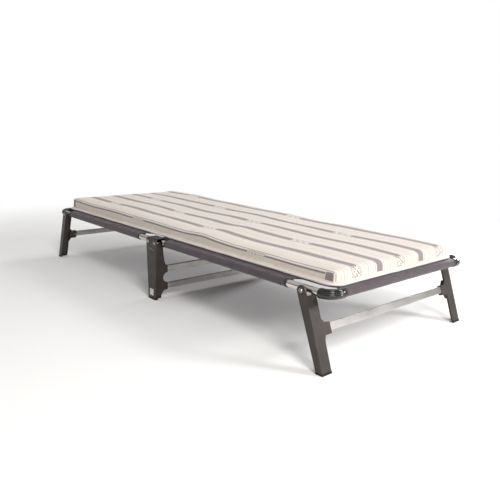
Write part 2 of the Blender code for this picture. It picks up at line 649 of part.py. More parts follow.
def soft_block(name, inset, low, finish, home=None):
    """A block with round top edges, inset all round from the mattress cover."""
    outline = rounded_rectangle(MATTRESS_X - inset, MATTRESS_Y - inset, 0.020 - inset)
    block = plate(name, outline, "XY", low, MATTRESS_TOP - inset, finish, home=home)
    weight = block.modifiers.new("soft_edge", "BEVEL")
    weight.width = 0.012
    weight.segments = 3
    weight.limit_method = "ANGLE"
    weight.angle_limit = radians(50)
    return block


def build_mattress():
    """Striped cover over a foam core, on a cream base border."""
    floor = BASE_HIGH + GAP
    under = 0.030
    trim = box("mattress_trim", (-1.0, -0.4, floor - under - 0.01), (1.0, 0.4, floor), home=cutters)
    cover = soft_block("mattress_cover", 0.0, floor - under, TICKING)
    hollow = soft_block("mattress_hollow", COVER_SKIN, floor - under - 0.005, None, cutters)
    cut(cover, hollow, trim)
    core = soft_block("mattress_core", COVER_SKIN + GAP, floor - under, FOAM)
    cut(core, trim)
    base = plate("mattress_base", rounded_rectangle(BASE_X, BASE_Y, 0.045), "XY", BASE_LOW, BASE_HIGH, BORDER)
    piping = base.modifiers.new("soft_edge", "BEVEL")
    piping.width = 0.003
    piping.segments = 2
    piping.limit_method = "ANGLE"
    piping.angle_limit = radians(50)


build_centre_frame()
for end_label, end_sign in ENDS.items():
    build_half(end_label, end_sign)
    build_end_legs(end_label, end_sign)
build_latch()
build_mattress()
bpy.context.view_layer.update()
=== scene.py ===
"""Looks of the folding cot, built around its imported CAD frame.

X runs along the cot (foot end at +X), Y across it (near side at -Y), Z up, floor at z = 0.
All sizes are metres unless a name says mm.
"""
from math import acos, atan2, cos, hypot, pi, radians, sin, sqrt, tau

import bmesh
import bpy
import numpy as np
from mathutils import Matrix, Vector


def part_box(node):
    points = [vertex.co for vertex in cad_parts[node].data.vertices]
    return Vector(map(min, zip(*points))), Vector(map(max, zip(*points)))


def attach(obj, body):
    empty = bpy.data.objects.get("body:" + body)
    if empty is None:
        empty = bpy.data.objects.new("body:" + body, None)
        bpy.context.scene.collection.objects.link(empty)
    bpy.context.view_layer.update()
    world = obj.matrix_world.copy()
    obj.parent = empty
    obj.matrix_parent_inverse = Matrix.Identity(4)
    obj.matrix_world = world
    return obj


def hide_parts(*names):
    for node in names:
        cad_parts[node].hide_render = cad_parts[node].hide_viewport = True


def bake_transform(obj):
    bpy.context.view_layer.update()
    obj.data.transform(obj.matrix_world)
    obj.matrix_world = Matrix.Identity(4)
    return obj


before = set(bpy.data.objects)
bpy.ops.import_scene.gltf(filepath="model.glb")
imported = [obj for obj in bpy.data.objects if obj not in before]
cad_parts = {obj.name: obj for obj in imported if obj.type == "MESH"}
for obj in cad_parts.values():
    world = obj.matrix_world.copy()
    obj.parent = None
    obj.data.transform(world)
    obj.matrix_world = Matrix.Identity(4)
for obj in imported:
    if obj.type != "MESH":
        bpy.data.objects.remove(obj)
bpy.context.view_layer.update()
scene = bpy.context.scene


def middle(node, axis):
    """Middle of a CAD node's box along one axis (0, 1 or 2)."""
    low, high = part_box(node)
    return (low[axis] + high[axis]) / 2


# ---- where things are -----------------------------------------------------------------------
AXIS_HEIGHT = middle("foot_side_rail_near", 2)
RAIL_Y = middle("foot_side_rail_far", 1)
END_RAIL_X = middle("foot_end_rail", 0)
HINGE_X = middle("hinge_pin_foot_near", 0)
LEG_PIVOT_X = middle("foot_leg_pin_near", 0)
LEG_FACE_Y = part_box("centre_leg_far")[1].y
LEG_SPLAY = radians(20.6)
TUBE_RADIUS = 0.0127
TUBE_WALL = 0.0012
RAIL_INNER_END = HINGE_X - 0.0090
CAP_BEND = 0.0420
CAP_RADIUS = 0.0165
CAP_SIDE_X = END_RAIL_X - CAP_BEND
CAP_END_Y = 0.3250
CAP_SOCKET = 0.0097
SLEEVE_START_X = {"foot": 0.0710, "head": 0.1290}
SLEEVE_END_X = {"foot": 0.7750, "head": 0.8330}
SLEEVE_RADIUS = 0.0139     # middle of the sleeve cloth
HINGE_CUTOUT_Y = 0.0456
PANEL_HEIGHT = AXIS_HEIGHT + 0.0139
PANEL_STRIP_X = 0.0300
CUTOUT_Y = 0.3460
CLOTH_THICKNESS = 0.0014
END_BAR_DOWN = 0.1290
BAR_HEIGHT = 0.0260
BAR_DEPTH = 0.0120
END_BAR_LOW_X = 0.0010     # inward face of an end crossbar beside its leg's middle line
CENTRE_BAR_Z = {"upper": middle("centre_bar_upper", 2), "lower": middle("centre_bar_lower", 2)}
SIDES = {"near": -1, "far": 1}
ENDS = {"head": -1, "foot": 1}


# ---- camera, light and floor ----------------------------------------------------------------
def place_camera():
    """Camera at the foot end's near corner, a little above the deck."""
    azimuth, elevation, roll = radians(47.7), radians(13.85), radians(1.72)
    look = Vector((-sin(azimuth) * cos(elevation), cos(azimuth) * cos(elevation), -sin(elevation)))
    right = look.cross(Vector((0, 0, 1))).normalized()
    up = right.cross(look)
    level_right = right * cos(roll) + up * sin(roll)
    level_up = up * cos(roll) - right * sin(roll)
    data = bpy.data.cameras.new("product_camera")
    data.lens = 39.83
    data.sensor_width = 36.0
    data.shift_x = -0.0102
    data.shift_y = 0.0231
    data.clip_start = 0.05
    camera = bpy.data.objects.new("product_camera", data)
    camera.matrix_world = Matrix.Translation((1.9552, -1.6011, 0.7318)) @ Matrix(
        (level_right, level_up, -look)).transposed().to_4x4()
    scene.collection.objects.link(camera)
    scene.camera = camera


def srgb(code):
    """Linear colour of an sRGB hex value."""
    channels = [int(code[i:i + 2], 16) / 255 for i in (1, 3, 5)]
    return (*[c / 12.92 if c <= 0.04045 else ((c + 0.055) / 1.055) ** 2.4 for c in channels], 1.0)


def add_node(tree, kind, inputs=None, **settings):
    """Add one node; inputs maps a socket to a value or to the node or socket that feeds it."""
    made = tree.nodes.new(kind)
    for key, value in settings.items():
        setattr(made, key, value)
    for key, value in (inputs or {}).items():
        if isinstance(value, bpy.types.Node):
            value = next(o for o in value.outputs if o.enabled)
        if isinstance(value, bpy.types.NodeSocket):
            tree.links.new(value, made.inputs[key])
        else:
            made.inputs[key].default_value = value
    return made


def soft_box(name, azimuth, elevation, distance, size, watts, tint):
    """Square studio light that faces the cot from a compass angle (0 is +X, 90 is +Y)."""
    data = bpy.data.lights.new(name, "AREA")
    data.shape = "SQUARE"
    data.size = size
    data.energy = watts
    data.color = srgb(tint)[:3]
    lamp = bpy.data.objects.new(name, data)
    a, e = radians(azimuth), radians(elevation)
    toward = Vector((cos(a) * cos(e), sin(a) * cos(e), sin(e)))
    lamp.location = Vector((0.1, 0.0, 0.2)) + toward * distance
    lamp.rotation_mode = "QUATERNION"
    lamp.rotation_quaternion = toward.to_track_quat("Z", "Y")
    scene.collection.objects.link(lamp)


def light_studio():
    """White sweep for the eye, and a softly graded room for what the metal reflects."""
    scene.view_settings.view_transform = "Standard"
    scene.view_settings.look = "None"
    world = bpy.data.worlds.new("studio")
    world.use_nodes = True
    tree = world.node_tree
    tree.nodes.clear()
    direction = add_node(tree, "ShaderNodeTexCoord")
    split = add_node(tree, "ShaderNodeSeparateXYZ", {0: direction.outputs["Generated"]})
    height = add_node(tree, "ShaderNodeValToRGB", {0: split.outputs["Z"]})
    stops = height.color_ramp.elements
    stops[0].position, stops[0].color = 0.02, srgb("#6F6C6B")
    stops[1].position, stops[1].color = 0.62, srgb("#FFFFFF")
    shade = stops.new(0.20)
    shade.color = srgb("#B9B6B5")
    room = add_node(tree, "ShaderNodeBackground", {"Color": height, "Strength": 0.56})
    sweep = add_node(tree, "ShaderNodeBackground", {"Color": (1, 1, 1, 1), "Strength": 1.0})
    seen = add_node(tree, "ShaderNodeLightPath")
    both = add_node(tree, "ShaderNodeMixShader",
                    {0: seen.outputs["Is Camera Ray"], 1: room, 2: sweep})
    add_node(tree, "ShaderNodeOutputWorld", {"Surface": both})
    scene.world = world
    soft_box("key_light", -24, 36, 5.0, 1.3, 141, "#FFFDFA")
    soft_box("side_light", 28, 24, 5.0, 1.1, 136, "#FFFFFF")
    soft_box("back_light", 99, 15, 5.0, 0.9, 161, "#FFFFFF")


def lay_floor(finish):
    """Wide pale floor under the feet."""
    rings = [[(r * cos(tau * i / 64), r * sin(tau * i / 64), 0.0) for i in range(64)]
             for r in (40.0, 3.0)]
    floor = mesh_object("studio_floor", *skin_data(rings, close_last=True), finish, smooth=False)


# ---- mesh tools -----------------------------------------------------------------------------
def mesh_object(name, points, faces, finish, smooth=True):
    """New object at the origin from points and faces."""
    mesh = bpy.data.meshes.new(name)
    mesh.from_pydata([tuple(p) for p in points], [], faces)
    mesh.update()
    if smooth:
        mesh.shade_smooth()
    mesh.materials.append(finish)
    made = bpy.data.objects.new(name, mesh)
    scene.collection.objects.link(made)
    return made


def skin_data(rings, loop=False, close_first=False, close_last=False, first=0):
    """Points and faces of a surface through rings of points; faces are wound one way throughout."""
    count = len(rings[0])
    points = [p for ring in rings for p in ring]
    faces = []
    for k in range(len(rings) if loop else len(rings) - 1):
        a, b = k * count, (k + 1) % len(rings) * count
        faces += [(a + i, a + (i + 1) % count, b + (i + 1) % count, b + i) for i in range(count)]
    if close_first:
        faces.append(tuple(reversed(range(count))))
    if close_last:
        faces.append(tuple(range(len(points) - count, len(points))))
    return points, [tuple(first + i for i in face) for face in faces]


def skin(name, rings, finish, loop=False, close_first=False, close_last=False):
    """Object from one run of rings, with its faces turned outwards."""
    made = mesh_object(name, *skin_data(rings, loop, close_first, close_last), finish)
    face_outwards(made)
    return made


def face_outwards(thing):
    """Recalculate the face directions of a closed mesh."""
    shape = bmesh.new()
    shape.from_mesh(thing.data)
    bmesh.ops.recalc_face_normals(shape, faces=shape.faces)
    shape.to_mesh(thing.data)
    shape.free()


def several(name, parts, finish):
    """One object from several (points, faces) parts."""
    points, faces = [], []
    for part_points, part_faces in parts:
        faces += [tuple(len(points) + i for i in face) for face in part_faces]
        points += part_points
    made = mesh_object(name, points, faces, finish)
    face_outwards(made)
    return made


def settle(thing):
    """Turn an object's modifiers into plain mesh and keep its hard edges crisp."""
    mesh = bpy.data.meshes.new_from_object(
        thing.evaluated_get(bpy.context.evaluated_depsgraph_get()))
    thing.modifiers.clear()
    thing.data = mesh
    mesh.shade_smooth()
    mesh.set_sharp_from_angle(angle=radians(38))
    return thing


def arc(cx, cy, radius, start, end, steps):
    """Points along a circular arc; the angles are in degrees."""
    angles = [radians(start + (end - start) * i / steps) for i in range(steps + 1)]
    return [(cx + radius * cos(a), cy + radius * sin(a)) for a in angles]


def rounded_rectangle(half_x, half_y, corner, steps=8):
    """Outline of a rectangle with round corners, with points every few centimetres."""
    points = []
    for k, (sx, sy) in enumerate(((1, 1), (-1, 1), (-1, -1), (1, -1))):
        points += arc(sx * (half_x - corner), sy * (half_y - corner), corner,
                      90 * k, 90 * k + 90, steps)
    return points


def spaced(path, pitch, closed=False):
    """The same path with points about pitch apart."""
    corners = [Vector(p) for p in path] + ([Vector(path[0])] if closed else [])
    out = []
    for a, b in zip(corners, corners[1:]):
        steps = max(1, round((b - a).length / pitch))
        out += [a.lerp(b, i / steps) for i in range(steps)]
    return out if closed else out + [corners[-1]]


def sweep(path, section, up=Vector((0, 0, 1)), closed=False):
    """Rings of a flat section (side, up) carried along a path."""
    path = [Vector(p) for p in path]
    rings = []
    for i, p in enumerate(path):
        before = path[i - 1] if i or closed else p
        after = path[(i + 1) % len(path)] if i + 1 < len(path) or closed else p
        along = (after - before).normalized()
        side = along.cross(up).normalized()
        top = side.cross(along)
        rings.append([p + side * s + top * u for s, u in section])
    return rings


def oval(half_side, half_up, count=10):
    """Section of a flattened cord."""
    return [(half_side * cos(tau * i / count), half_up * sin(tau * i / count))
            for i in range(count)]


# ---- finishes -------------------------------------------------------------------------------
MATH = "ShaderNodeMath"
MIX = "ShaderNodeMix"


def new_finish(name, **sockets):
    """A new material, its node tree and its shader, with fixed shader values set on the shader."""
    made = bpy.data.materials.new(name)
    made.use_nodes = True
    shader = made.node_tree.nodes["Principled BSDF"]
    for key, value in sockets.items():
        shader.inputs[key.replace("_", " ")].default_value = value
    return made, made.node_tree, shader


def feed(tree, shader, colour, height, depth, roughness=None):
    """Link colour, surface relief (depth in metres) and roughness to a shader."""
    bump = add_node(tree, "ShaderNodeBump", {"Height": height, "Distance": depth, "Strength": 1.0})
    tree.links.new(next(o for o in colour.outputs if o.enabled), shader.inputs["Base Color"])
    tree.links.new(bump.outputs[0], shader.inputs["Normal"])
    if roughness:
        tree.links.new(roughness.outputs[0], shader.inputs["Roughness"])


EVEN = (1, 1, 1)   # marks that run no particular way


def mottle(tree, scale, low, high, stretch=EVEN, detail=3.0):
    """Cloudy variation between two values, and the plain noise behind it."""
    place = add_node(tree, "ShaderNodeTexCoord").outputs["Object"]
    placed = add_node(tree, "ShaderNodeMapping", {"Vector": place, "Scale": stretch})
    noise = add_node(tree, "ShaderNodeTexNoise", {"Vector": placed, "Scale": scale, "Detail": detail})
    return add_node(tree, "ShaderNodeMapRange", {0: noise, 1: 0.3, 2: 0.7, 3: low, 4: high}), noise


def metal_finish(name, light, dark, roughness, stretch, scale, depth, **sockets):
    """A metal whose polish marks follow one axis; roughness follows the same marks."""
    made, tree, shader = new_finish(name, Metallic=1.0, **sockets)
    rough, noise = mottle(tree, scale, *roughness, stretch)
    shade, _ = mottle(tree, 9.0, 0.0, 1.0)
    colour = add_node(tree, MIX, {0: shade, 6: srgb(dark), 7: srgb(light)}, data_type="RGBA")
    feed(tree, shader, colour, noise, depth, rough)
    return made


def moulded_finish(name, light, dark, roughness, grain_mm, depth, **sockets):
    """A moulded plastic, rubber or vinyl with a pebbled skin and handling marks."""
    made, tree, shader = new_finish(name, **sockets)
    shade, _ = mottle(tree, 14.0, 0.0, 1.0)
    marks, _ = mottle(tree, 45.0, *roughness, detail=5.0)
    colour = add_node(tree, MIX, {0: shade, 6: srgb(dark), 7: srgb(light)}, data_type="RGBA")
    place = add_node(tree, "ShaderNodeTexCoord").outputs["Object"]
    pebbles = add_node(tree, "ShaderNodeTexVoronoi", {"Vector": place, "Scale": 1000.0 / grain_mm})
    feed(tree, shader, colour, pebbles, depth, marks)
    return made


def run_sums(tree, values, sums):
    """Work through rows of (result, operation, terms...); a term is an earlier result or a number."""
    for result, operation, *terms in sums:
        inputs = {i: values.get(term, term) for i, term in enumerate(terms)}
        values[result] = add_node(tree, MATH, inputs, operation=operation)
    return values


def cloth_finish(name, light, dark, thread_mm, depth, **sockets):
    """A plain-woven cloth whose threads follow the piece's own "cloth" attribute, in metres."""
    made, tree, shader = new_finish(name, **sockets)
    cloth = add_node(tree, "ShaderNodeAttribute", attribute_name="cloth").outputs["Vector"]
    split = add_node(tree, "ShaderNodeSeparateXYZ", {0: cloth})
    slub, _ = mottle(tree, 30.0, -0.2, 0.2)
    turns = pi * 1000.0 / thread_mm       # half a wave for each thread
    made_of = run_sums(tree, {"warp": split.outputs[0], "weft": split.outputs[1], "slub": slub}, (
        ("warp", "MULTIPLY", "warp", turns), ("warp", "SINE", "warp"),
        ("weft", "MULTIPLY", "weft", turns), ("weft", "SINE", "weft"),
        ("weave", "MULTIPLY", "warp", "weft"),
        ("weave_shade_and_slub", "MULTIPLY_ADD", "weave", 0.3, 0.5), ("weave_shade_and_slub", "ADD", "weave_shade_and_slub", "slub")))
    # colour darkens where the weave's relief dips: painted shade between threads, plus random slub
    colour = add_node(tree, MIX, {0: made_of["weave_shade_and_slub"], 6: srgb(dark), 7: srgb(light)}, data_type="RGBA")
    feed(tree, shader, colour, made_of["weave"], depth)
    return made


# ticking pattern: v runs across the cloth from the cot's middle, u along it
BAND_STEP = 0.1232         # from one wide stripe to the next
BAND_START = 0.0197        # middle of the wide stripe nearest the cot's middle
BAND_HALF = 0.0160
LINE_HALF = 0.0012
FLANK_LINE = 0.0236        # thin line beside a wide stripe, from its middle
MEDALLION_STEP = 0.800     # from one woven medallion to the next along a stripe
MEDALLION_START = 0.160
MEDALLION_HALF = 0.047
TINT_MIDDLE = 0.0450       # soft beige ground between a flank line and the middle line
TINT_HALF = 0.0105

TICKING_SUMS = (
    # place on the cloth: offset from the nearest stripe, and distance along it from a medallion
    ("on_end", "GREATER_THAN", "end_zone", 0.0),
    ("v", "SUBTRACT", "around", "across"), ("v", "MULTIPLY_ADD", "v", "on_end", "across"),
    ("steps", "SUBTRACT", "v", BAND_START), ("steps", "DIVIDE", "steps", BAND_STEP),
    ("number", "ROUND", "steps"), ("offset", "SUBTRACT", "steps", "number"),
    ("offset", "MULTIPLY", "offset", BAND_STEP), ("apart", "ABSOLUTE", "offset"),
    ("turn", "SUBTRACT", "along", MEDALLION_START), ("turn", "DIVIDE", "turn", MEDALLION_STEP),
    ("turn", "MULTIPLY_ADD", "number", 0.5, "turn"), ("nearest", "ROUND", "turn"),
    ("run", "SUBTRACT", "turn", "nearest"), ("run", "MULTIPLY", "run", MEDALLION_STEP),
    ("run_apart", "ABSOLUTE", "run"), ("medallion", "LESS_THAN", "run_apart", MEDALLION_HALF),
    ("plain", "SUBTRACT", 1.0, "medallion"),
    # wide stripe, ribbed lengthways
    ("ribs", "MULTIPLY", "offset", tau / 0.0032), ("ribs", "SINE", "ribs"),
    ("ribs", "MULTIPLY_ADD", "ribs", 0.10, 0.86),
    ("band", "LESS_THAN", "apart", BAND_HALF), ("band", "MULTIPLY", "band", "plain"),
    ("band", "MULTIPLY", "band", "ribs"),
    # medallion: rippled borders, a winding stem and leaves
    ("ripple", "MULTIPLY", "run", tau / 0.014), ("ripple", "SINE", "ripple"),
    ("ripple", "MULTIPLY_ADD", "ripple", 0.0012, 0.0178),
    ("border", "SUBTRACT", "apart", "ripple"), ("border", "ABSOLUTE", "border"),
    ("border", "LESS_THAN", "border", 0.0011),
    ("stem", "MULTIPLY", "run", tau / 0.0313), ("stem", "SINE", "stem"),
    ("stem", "MULTIPLY_ADD", "stem", -0.0075, "offset"), ("stem", "ABSOLUTE", "stem"),
    ("stem", "LESS_THAN", "stem", 0.0019),
    ("leaf", "MULTIPLY", "run", tau / 0.0157), ("leaf", "SINE", "leaf"),
    ("vein", "MULTIPLY", "offset", tau / 0.0150), ("vein", "SINE", "vein"),
    ("leaf", "MULTIPLY", "leaf", "vein"), ("leaf", "GREATER_THAN", "leaf", 0.5),
    ("within", "LESS_THAN", "apart", 0.0140), ("leaf", "MULTIPLY", "leaf", "within"),
    ("scroll", "MAXIMUM", "border", "stem"), ("scroll", "MAXIMUM", "scroll", "leaf"),
    ("scroll", "MULTIPLY", "scroll", "medallion"),
    # thin lines
    ("flank", "SUBTRACT", "apart", FLANK_LINE), ("flank", "ABSOLUTE", "flank"),
    ("flank", "LESS_THAN", "flank", LINE_HALF),
    ("centre", "SUBTRACT", "apart", BAND_STEP / 2), ("centre", "ABSOLUTE", "centre"),
    ("centre", "LESS_THAN", "centre", LINE_HALF),
    ("lines", "MAXIMUM", "flank", "centre"), ("lines", "MULTIPLY", "lines", 0.88),
    ("ink", "MAXIMUM", "band", "scroll"), ("ink", "MAXIMUM", "ink", "lines"),
    # beige ground between the lines
    ("tint", "SUBTRACT", "apart", TINT_MIDDLE), ("tint", "ABSOLUTE", "tint"),
    ("tint", "SUBTRACT", TINT_HALF, "tint"), ("tint", "MULTIPLY", "tint", 500.0),
    ("tint", "MAXIMUM", "tint", 0.0), ("tint", "MINIMUM", "tint", 0.6),
    # real twill lines stand 0.8 mm apart; drawn at 2 mm so that they still show
    ("twill", "ADD", "v", "along"), ("twill", "MULTIPLY", "twill", tau / 0.0020),
    ("twill", "SINE", "twill"), ("relief", "MULTIPLY_ADD", "ink", 0.6, "twill"),
)


def ticking_finish():
    """Cotton twill ticking: cream ground, wide grey stripes broken by medallions, thin lines.

    Cotton twill is dry and matt and lightens at a low angle, so it has some sheen.
    """
    made, tree, shader = new_finish("cotton_ticking", Roughness=0.88, Sheen_Weight=0.20,
                                    Sheen_Roughness=0.5, Specular_IOR_Level=0.2)
    values = {n: add_node(tree, "ShaderNodeAttribute", attribute_name=n).outputs["Fac"]
              for n in ("across", "around", "along", "end_zone")}
    run_sums(tree, values, TICKING_SUMS)
    ground = add_node(tree, MIX, {0: values["tint"], 6: srgb("#DDD4CC"), 7: srgb("#C9BDB1")},
                      data_type="RGBA")
    colour = add_node(tree, MIX, {0: values["ink"], 6: ground, 7: srgb("#756A6C")}, data_type="RGBA")
    feed(tree, shader, colour, values["relief"], 0.00012)
    return made


def floor_finish():
    """Matt painted board that fades into the white sweep away from the cot."""
    made, tree, shader = new_finish("matt_studio_floor", Roughness=0.9, Specular_IOR_Level=0.2)
    shader.inputs["Base Color"].default_value = srgb("#F2F1F0")
    place = add_node(tree, "ShaderNodeTexCoord").outputs["Object"]
    away = add_node(tree, "ShaderNodeVectorMath", {0: place}, operation="LENGTH").outputs["Value"]
    fade = add_node(tree, "ShaderNodeMapRange", {0: away, 1: 1.7, 2: 3.0, 3: 0.0, 4: 1.0},
                    interpolation_type="SMOOTHSTEP")
    sweep = add_node(tree, "ShaderNodeEmission", {"Color": (1, 1, 1, 1), "Strength": 1.0})
    both = add_node(tree, "ShaderNodeMixShader", {0: fade, 1: shader, 2: sweep})
    tree.links.new(both.outputs[0], tree.nodes["Material Output"].inputs["Surface"])
    return made


FINISHES = {
    # bright chromium on polished steel tube: mirror bands with a faint haze from handling
    "chrome": metal_finish("polished_chrome_tube", "#E2DDD8", "#D3CCC6", (0.07, 0.17),
                           EVEN, 38.0, 0.00003),
    # extruded aluminium, satin anodised: soft streaks along the bar
    "bar": metal_finish("satin_anodised_aluminium", "#D6D3D0", "#BDB9B6", (0.27, 0.40),
                        (1, 0.02, 1), 700.0, 0.00003),
    # zinc-plated rivets and screws, tumbled smooth
    "steel": metal_finish("zinc_plated_steel", "#E6E2DC", "#C6C1B9", (0.16, 0.30),
                          EVEN, 300.0, 0.00004),
    # bottom of a rivet's recess: darker steel that paints in the shade of the hollow
    "recess": metal_finish("rivet_recess_painted_shade_steel", "#5B5855", "#3B3937", (0.35, 0.50), EVEN, 300.0,
                           0.00004),
    # glass-filled nylon from a spark-eroded tool: dark brown-black, satin, pebbles of about 1 mm
    "nylon": moulded_finish("moulded_glass_filled_nylon", "#39312C", "#2C2521", (0.38, 0.52), 1.1, 0.00010),
    # high-gloss ABS: nearly black, sharp highlights over a slight waviness
    "abs": moulded_finish("gloss_moulded_abs", "#141210", "#0C0B0A", (0.16, 0.30), 5.0, 0.00004,
                          Coat_Weight=0.4, Coat_Roughness=0.12),
    # plain nylon: black, satin
    "black_nylon": moulded_finish("satin_moulded_nylon", "#1B1817", "#121010", (0.35, 0.50), 1.4, 0.00008),
    # moulded rubber shoes: matt and dusty
    "rubber": moulded_finish("moulded_rubber", "#1E1C1A", "#141211", (0.70, 0.90), 0.9, 0.00010),
    # 600 denier polyester; its threads stand 0.6 mm apart, drawn at 1.8 mm so that they show
    "deck": cloth_finish("woven_polyester_deck", "#574C52", "#382F35", 1.8, 0.00022,
                         Roughness=0.62, Sheen_Weight=0.22, Sheen_Roughness=0.35),
    # woven black binding tape; ribs of 1.2 mm
    "tape": cloth_finish("ribbed_binding_tape", "#1D1A1B", "#0E0D0D", 1.2, 0.00020,
                         Roughness=0.55, Sheen_Weight=0.15),
    # brushed cream cotton; threads of 0.5 mm drawn at 1.6 mm
    "border": cloth_finish("brushed_cotton_border", "#E2DAD5", "#D5CAC3", 1.6, 0.00015,
                           Roughness=0.90, Sheen_Weight=0.30, Sheen_Roughness=0.5),
    "ticking": ticking_finish(),
    # plain vinyl: smooth, off-white, slightly glossy
    "label": moulded_finish("blank_vinyl_label", "#DEDBD6", "#C9C5BF", (0.30, 0.45), 3.0, 0.00002),
    # spun polyester threads
    "cream_thread": moulded_finish("cream_polyester_thread", "#EDE4DA", "#D8CCC0", (0.5, 0.7), 0.5, 0.00003),
    "dark_thread": moulded_finish("black_polyester_thread", "#2E2A2B", "#1B1819", (0.5, 0.7), 0.5, 0.00003),
    "floor": floor_finish(),
}


# ---- repeated fittings by Geometry Nodes ----------------------------------------------------
def node_group(name, inputs):
    """A geometry tree with named inputs: (tree, group input node, identifiers by name)."""
    tree = bpy.data.node_groups.new(name, "GeometryNodeTree")
    tree.interface.new_socket("Geometry", in_out="INPUT", socket_type="NodeSocketGeometry")
    tree.interface.new_socket("Geometry", in_out="OUTPUT", socket_type="NodeSocketGeometry")
    keys = {}
    for label, kind in inputs:
        made = tree.interface.new_socket(label, in_out="INPUT", socket_type=kind)
        keys[label] = made.identifier
    return tree, tree.nodes.new("NodeGroupInput"), keys


def run_group(guide, tree, keys, values):
    """Apply a geometry tree to a guide object and keep the plain mesh that it makes."""
    step = guide.modifiers.new(tree.name, "NODES")
    step.node_group = tree
    for label, value in values.items():
        step[keys[label]] = value
    bpy.context.view_layer.update()
    mesh = bpy.data.meshes.new_from_object(
        guide.evaluated_get(bpy.context.evaluated_depsgraph_get()))
    name = guide.name.removesuffix("_guide")
    bpy.data.objects.remove(guide)
    made = bpy.data.objects.new(name, mesh)
    scene.collection.objects.link(made)
    return made


def rivet_tree():
    """Tubular rivet heads: rolled rim, a recess painted dark as the shade in its hollow, and bright core, on
    every guide point.
    """
    tree, entry, keys = node_group("rivet_heads", [
        ("Rim radius", "NodeSocketFloat"), ("Rim thickness", "NodeSocketFloat"),
        ("Height", "NodeSocketFloat"),
        ("Bright", "NodeSocketMaterial"), ("Dark", "NodeSocketMaterial")])
    rim_radius, rim, height = (entry.outputs[n] for n in ("Rim radius", "Rim thickness", "Height"))
    circle = add_node(tree, "GeometryNodeCurvePrimitiveCircle", {"Resolution": 28, "Radius": rim_radius})
    section = add_node(tree, "GeometryNodeCurvePrimitiveCircle", {"Resolution": 8, "Radius": rim})
    ring = add_node(tree, "GeometryNodeCurveToMesh", {0: circle, 1: section})
    # dark disc across the head: the hollow's shade, painted on
    recess = add_node(tree, "GeometryNodeMeshCylinder",
                      {"Vertices": 28, "Radius": rim_radius, "Depth": rim})
    core = add_node(tree, "GeometryNodeMeshUVSphere", {"Segments": 16, "Rings": 8, "Radius": 0.0021})
    low_core = add_node(tree, "GeometryNodeTransform",
                        {0: core, "Translation": (0, 0, 0.0003), "Scale": (1.0, 1.0, 0.45)})
    head = add_node(tree, "GeometryNodeJoinGeometry")
    for part, shade in ((ring, "Bright"), (recess, "Dark"), (low_core, "Bright")):
        dressed = add_node(tree, "GeometryNodeSetMaterial", {0: part, "Material": entry.outputs[shade]})
        tree.links.new(dressed.outputs[0], head.inputs[0])
    rise = add_node(tree, "ShaderNodeCombineXYZ", {2: height})
    raised = add_node(tree, "GeometryNodeTransform", {0: head, "Translation": rise})
    place = add_node(tree, "GeometryNodeInputPosition")
    split = add_node(tree, "ShaderNodeSeparateXYZ", {0: place})
    side = add_node(tree, MATH, {0: split.outputs[1]}, operation="SIGN")
    outward = add_node(tree, "ShaderNodeCombineXYZ", {1: side})
    facing = add_node(tree, "FunctionNodeAlignRotationToVector", {"Vector": outward}, axis="Z")
    heads = add_node(tree, "GeometryNodeInstanceOnPoints",
                     {"Points": entry.outputs[0], "Instance": raised, "Rotation": facing})
    real = add_node(tree, "GeometryNodeRealizeInstances", {0: heads})
    soft = add_node(tree, "GeometryNodeSetShadeSmooth", {0: real})
    add_node(tree, "NodeGroupOutput", {0: soft})
    return tree, keys


def stitch_tree():
    """Stitches laid end to end along every guide line."""
    tree, entry, keys = node_group("stitch_row", [
        ("Pitch", "NodeSocketFloat"), ("Length", "NodeSocketFloat"), ("Thickness", "NodeSocketFloat"),
        ("Thread", "NodeSocketMaterial")])
    line = add_node(tree, "GeometryNodeMeshToCurve", {0: entry.outputs[0]})
    points = add_node(tree, "GeometryNodeResampleCurve", {0: line, "Length": entry.outputs["Pitch"]},
                      mode="LENGTH")
    bead = add_node(tree, "GeometryNodeMeshUVSphere", {"Segments": 6, "Rings": 4, "Radius": 0.5})
    size = add_node(tree, "ShaderNodeCombineXYZ", {0: entry.outputs["Length"], 1: entry.outputs["Thickness"],
                                                   2: entry.outputs["Thickness"]})
    tangent = add_node(tree, "GeometryNodeInputTangent")
    facing = add_node(tree, "FunctionNodeAlignRotationToVector", {"Vector": tangent}, axis="X")
    beads = add_node(tree, "GeometryNodeInstanceOnPoints",
                     {"Points": points, "Instance": bead.outputs[0], "Rotation": facing, "Scale": size})
    real = add_node(tree, "GeometryNodeRealizeInstances", {0: beads})
    dressed = add_node(tree, "GeometryNodeSetMaterial", {0: real, "Material": entry.outputs["Thread"]})
    soft = add_node(tree, "GeometryNodeSetShadeSmooth", {0: dressed})
    add_node(tree, "NodeGroupOutput", {0: soft})
    return tree, keys


def guide_lines(name, lines):
    """Wire object from lists of points."""
    points, edges = [], []
    for line in lines:
        edges += [(len(points) + i, len(points) + i + 1) for i in range(len(line) - 1)]
        points += [tuple(p) for p in line]
    mesh = bpy.data.meshes.new(name)
    mesh.from_pydata(points, edges, [])
    made = bpy.data.objects.new(name + "_guide", mesh)
    scene.collection.objects.link(made)
    return made


def sew(name, lines, body, thread="dark_thread", pitch=0.0065, length=0.0048, thickness=0.0009):
    """Rows of stitches on one body."""
    made = run_group(guide_lines(name, lines), *STITCHES,
                     {"Pitch": pitch, "Length": length, "Thickness": thickness, "Thread": FINISHES[thread]})
    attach(made, body)
    return made


RIVETS = rivet_tree()
STITCHES = stitch_tree()


# ---- mattress -------------------------------------------------------------------------------
MATTRESS_X = 0.9250
MATTRESS_Y = 0.3330
MATTRESS_LOW = 0.2728
MATTRESS_CORNER = 0.0200   # seen from above
TOP_EDGE = 0.0120          # radius between the top and the sides
END_PIECE = 0.0440         # how far each end's cloth wraps round the corner
SIDE_SHADE_ACROSS = {"near": 0.3049, "far": 0.3443}   # the long sides sit on the darker beige ground, as painted shade of the sides
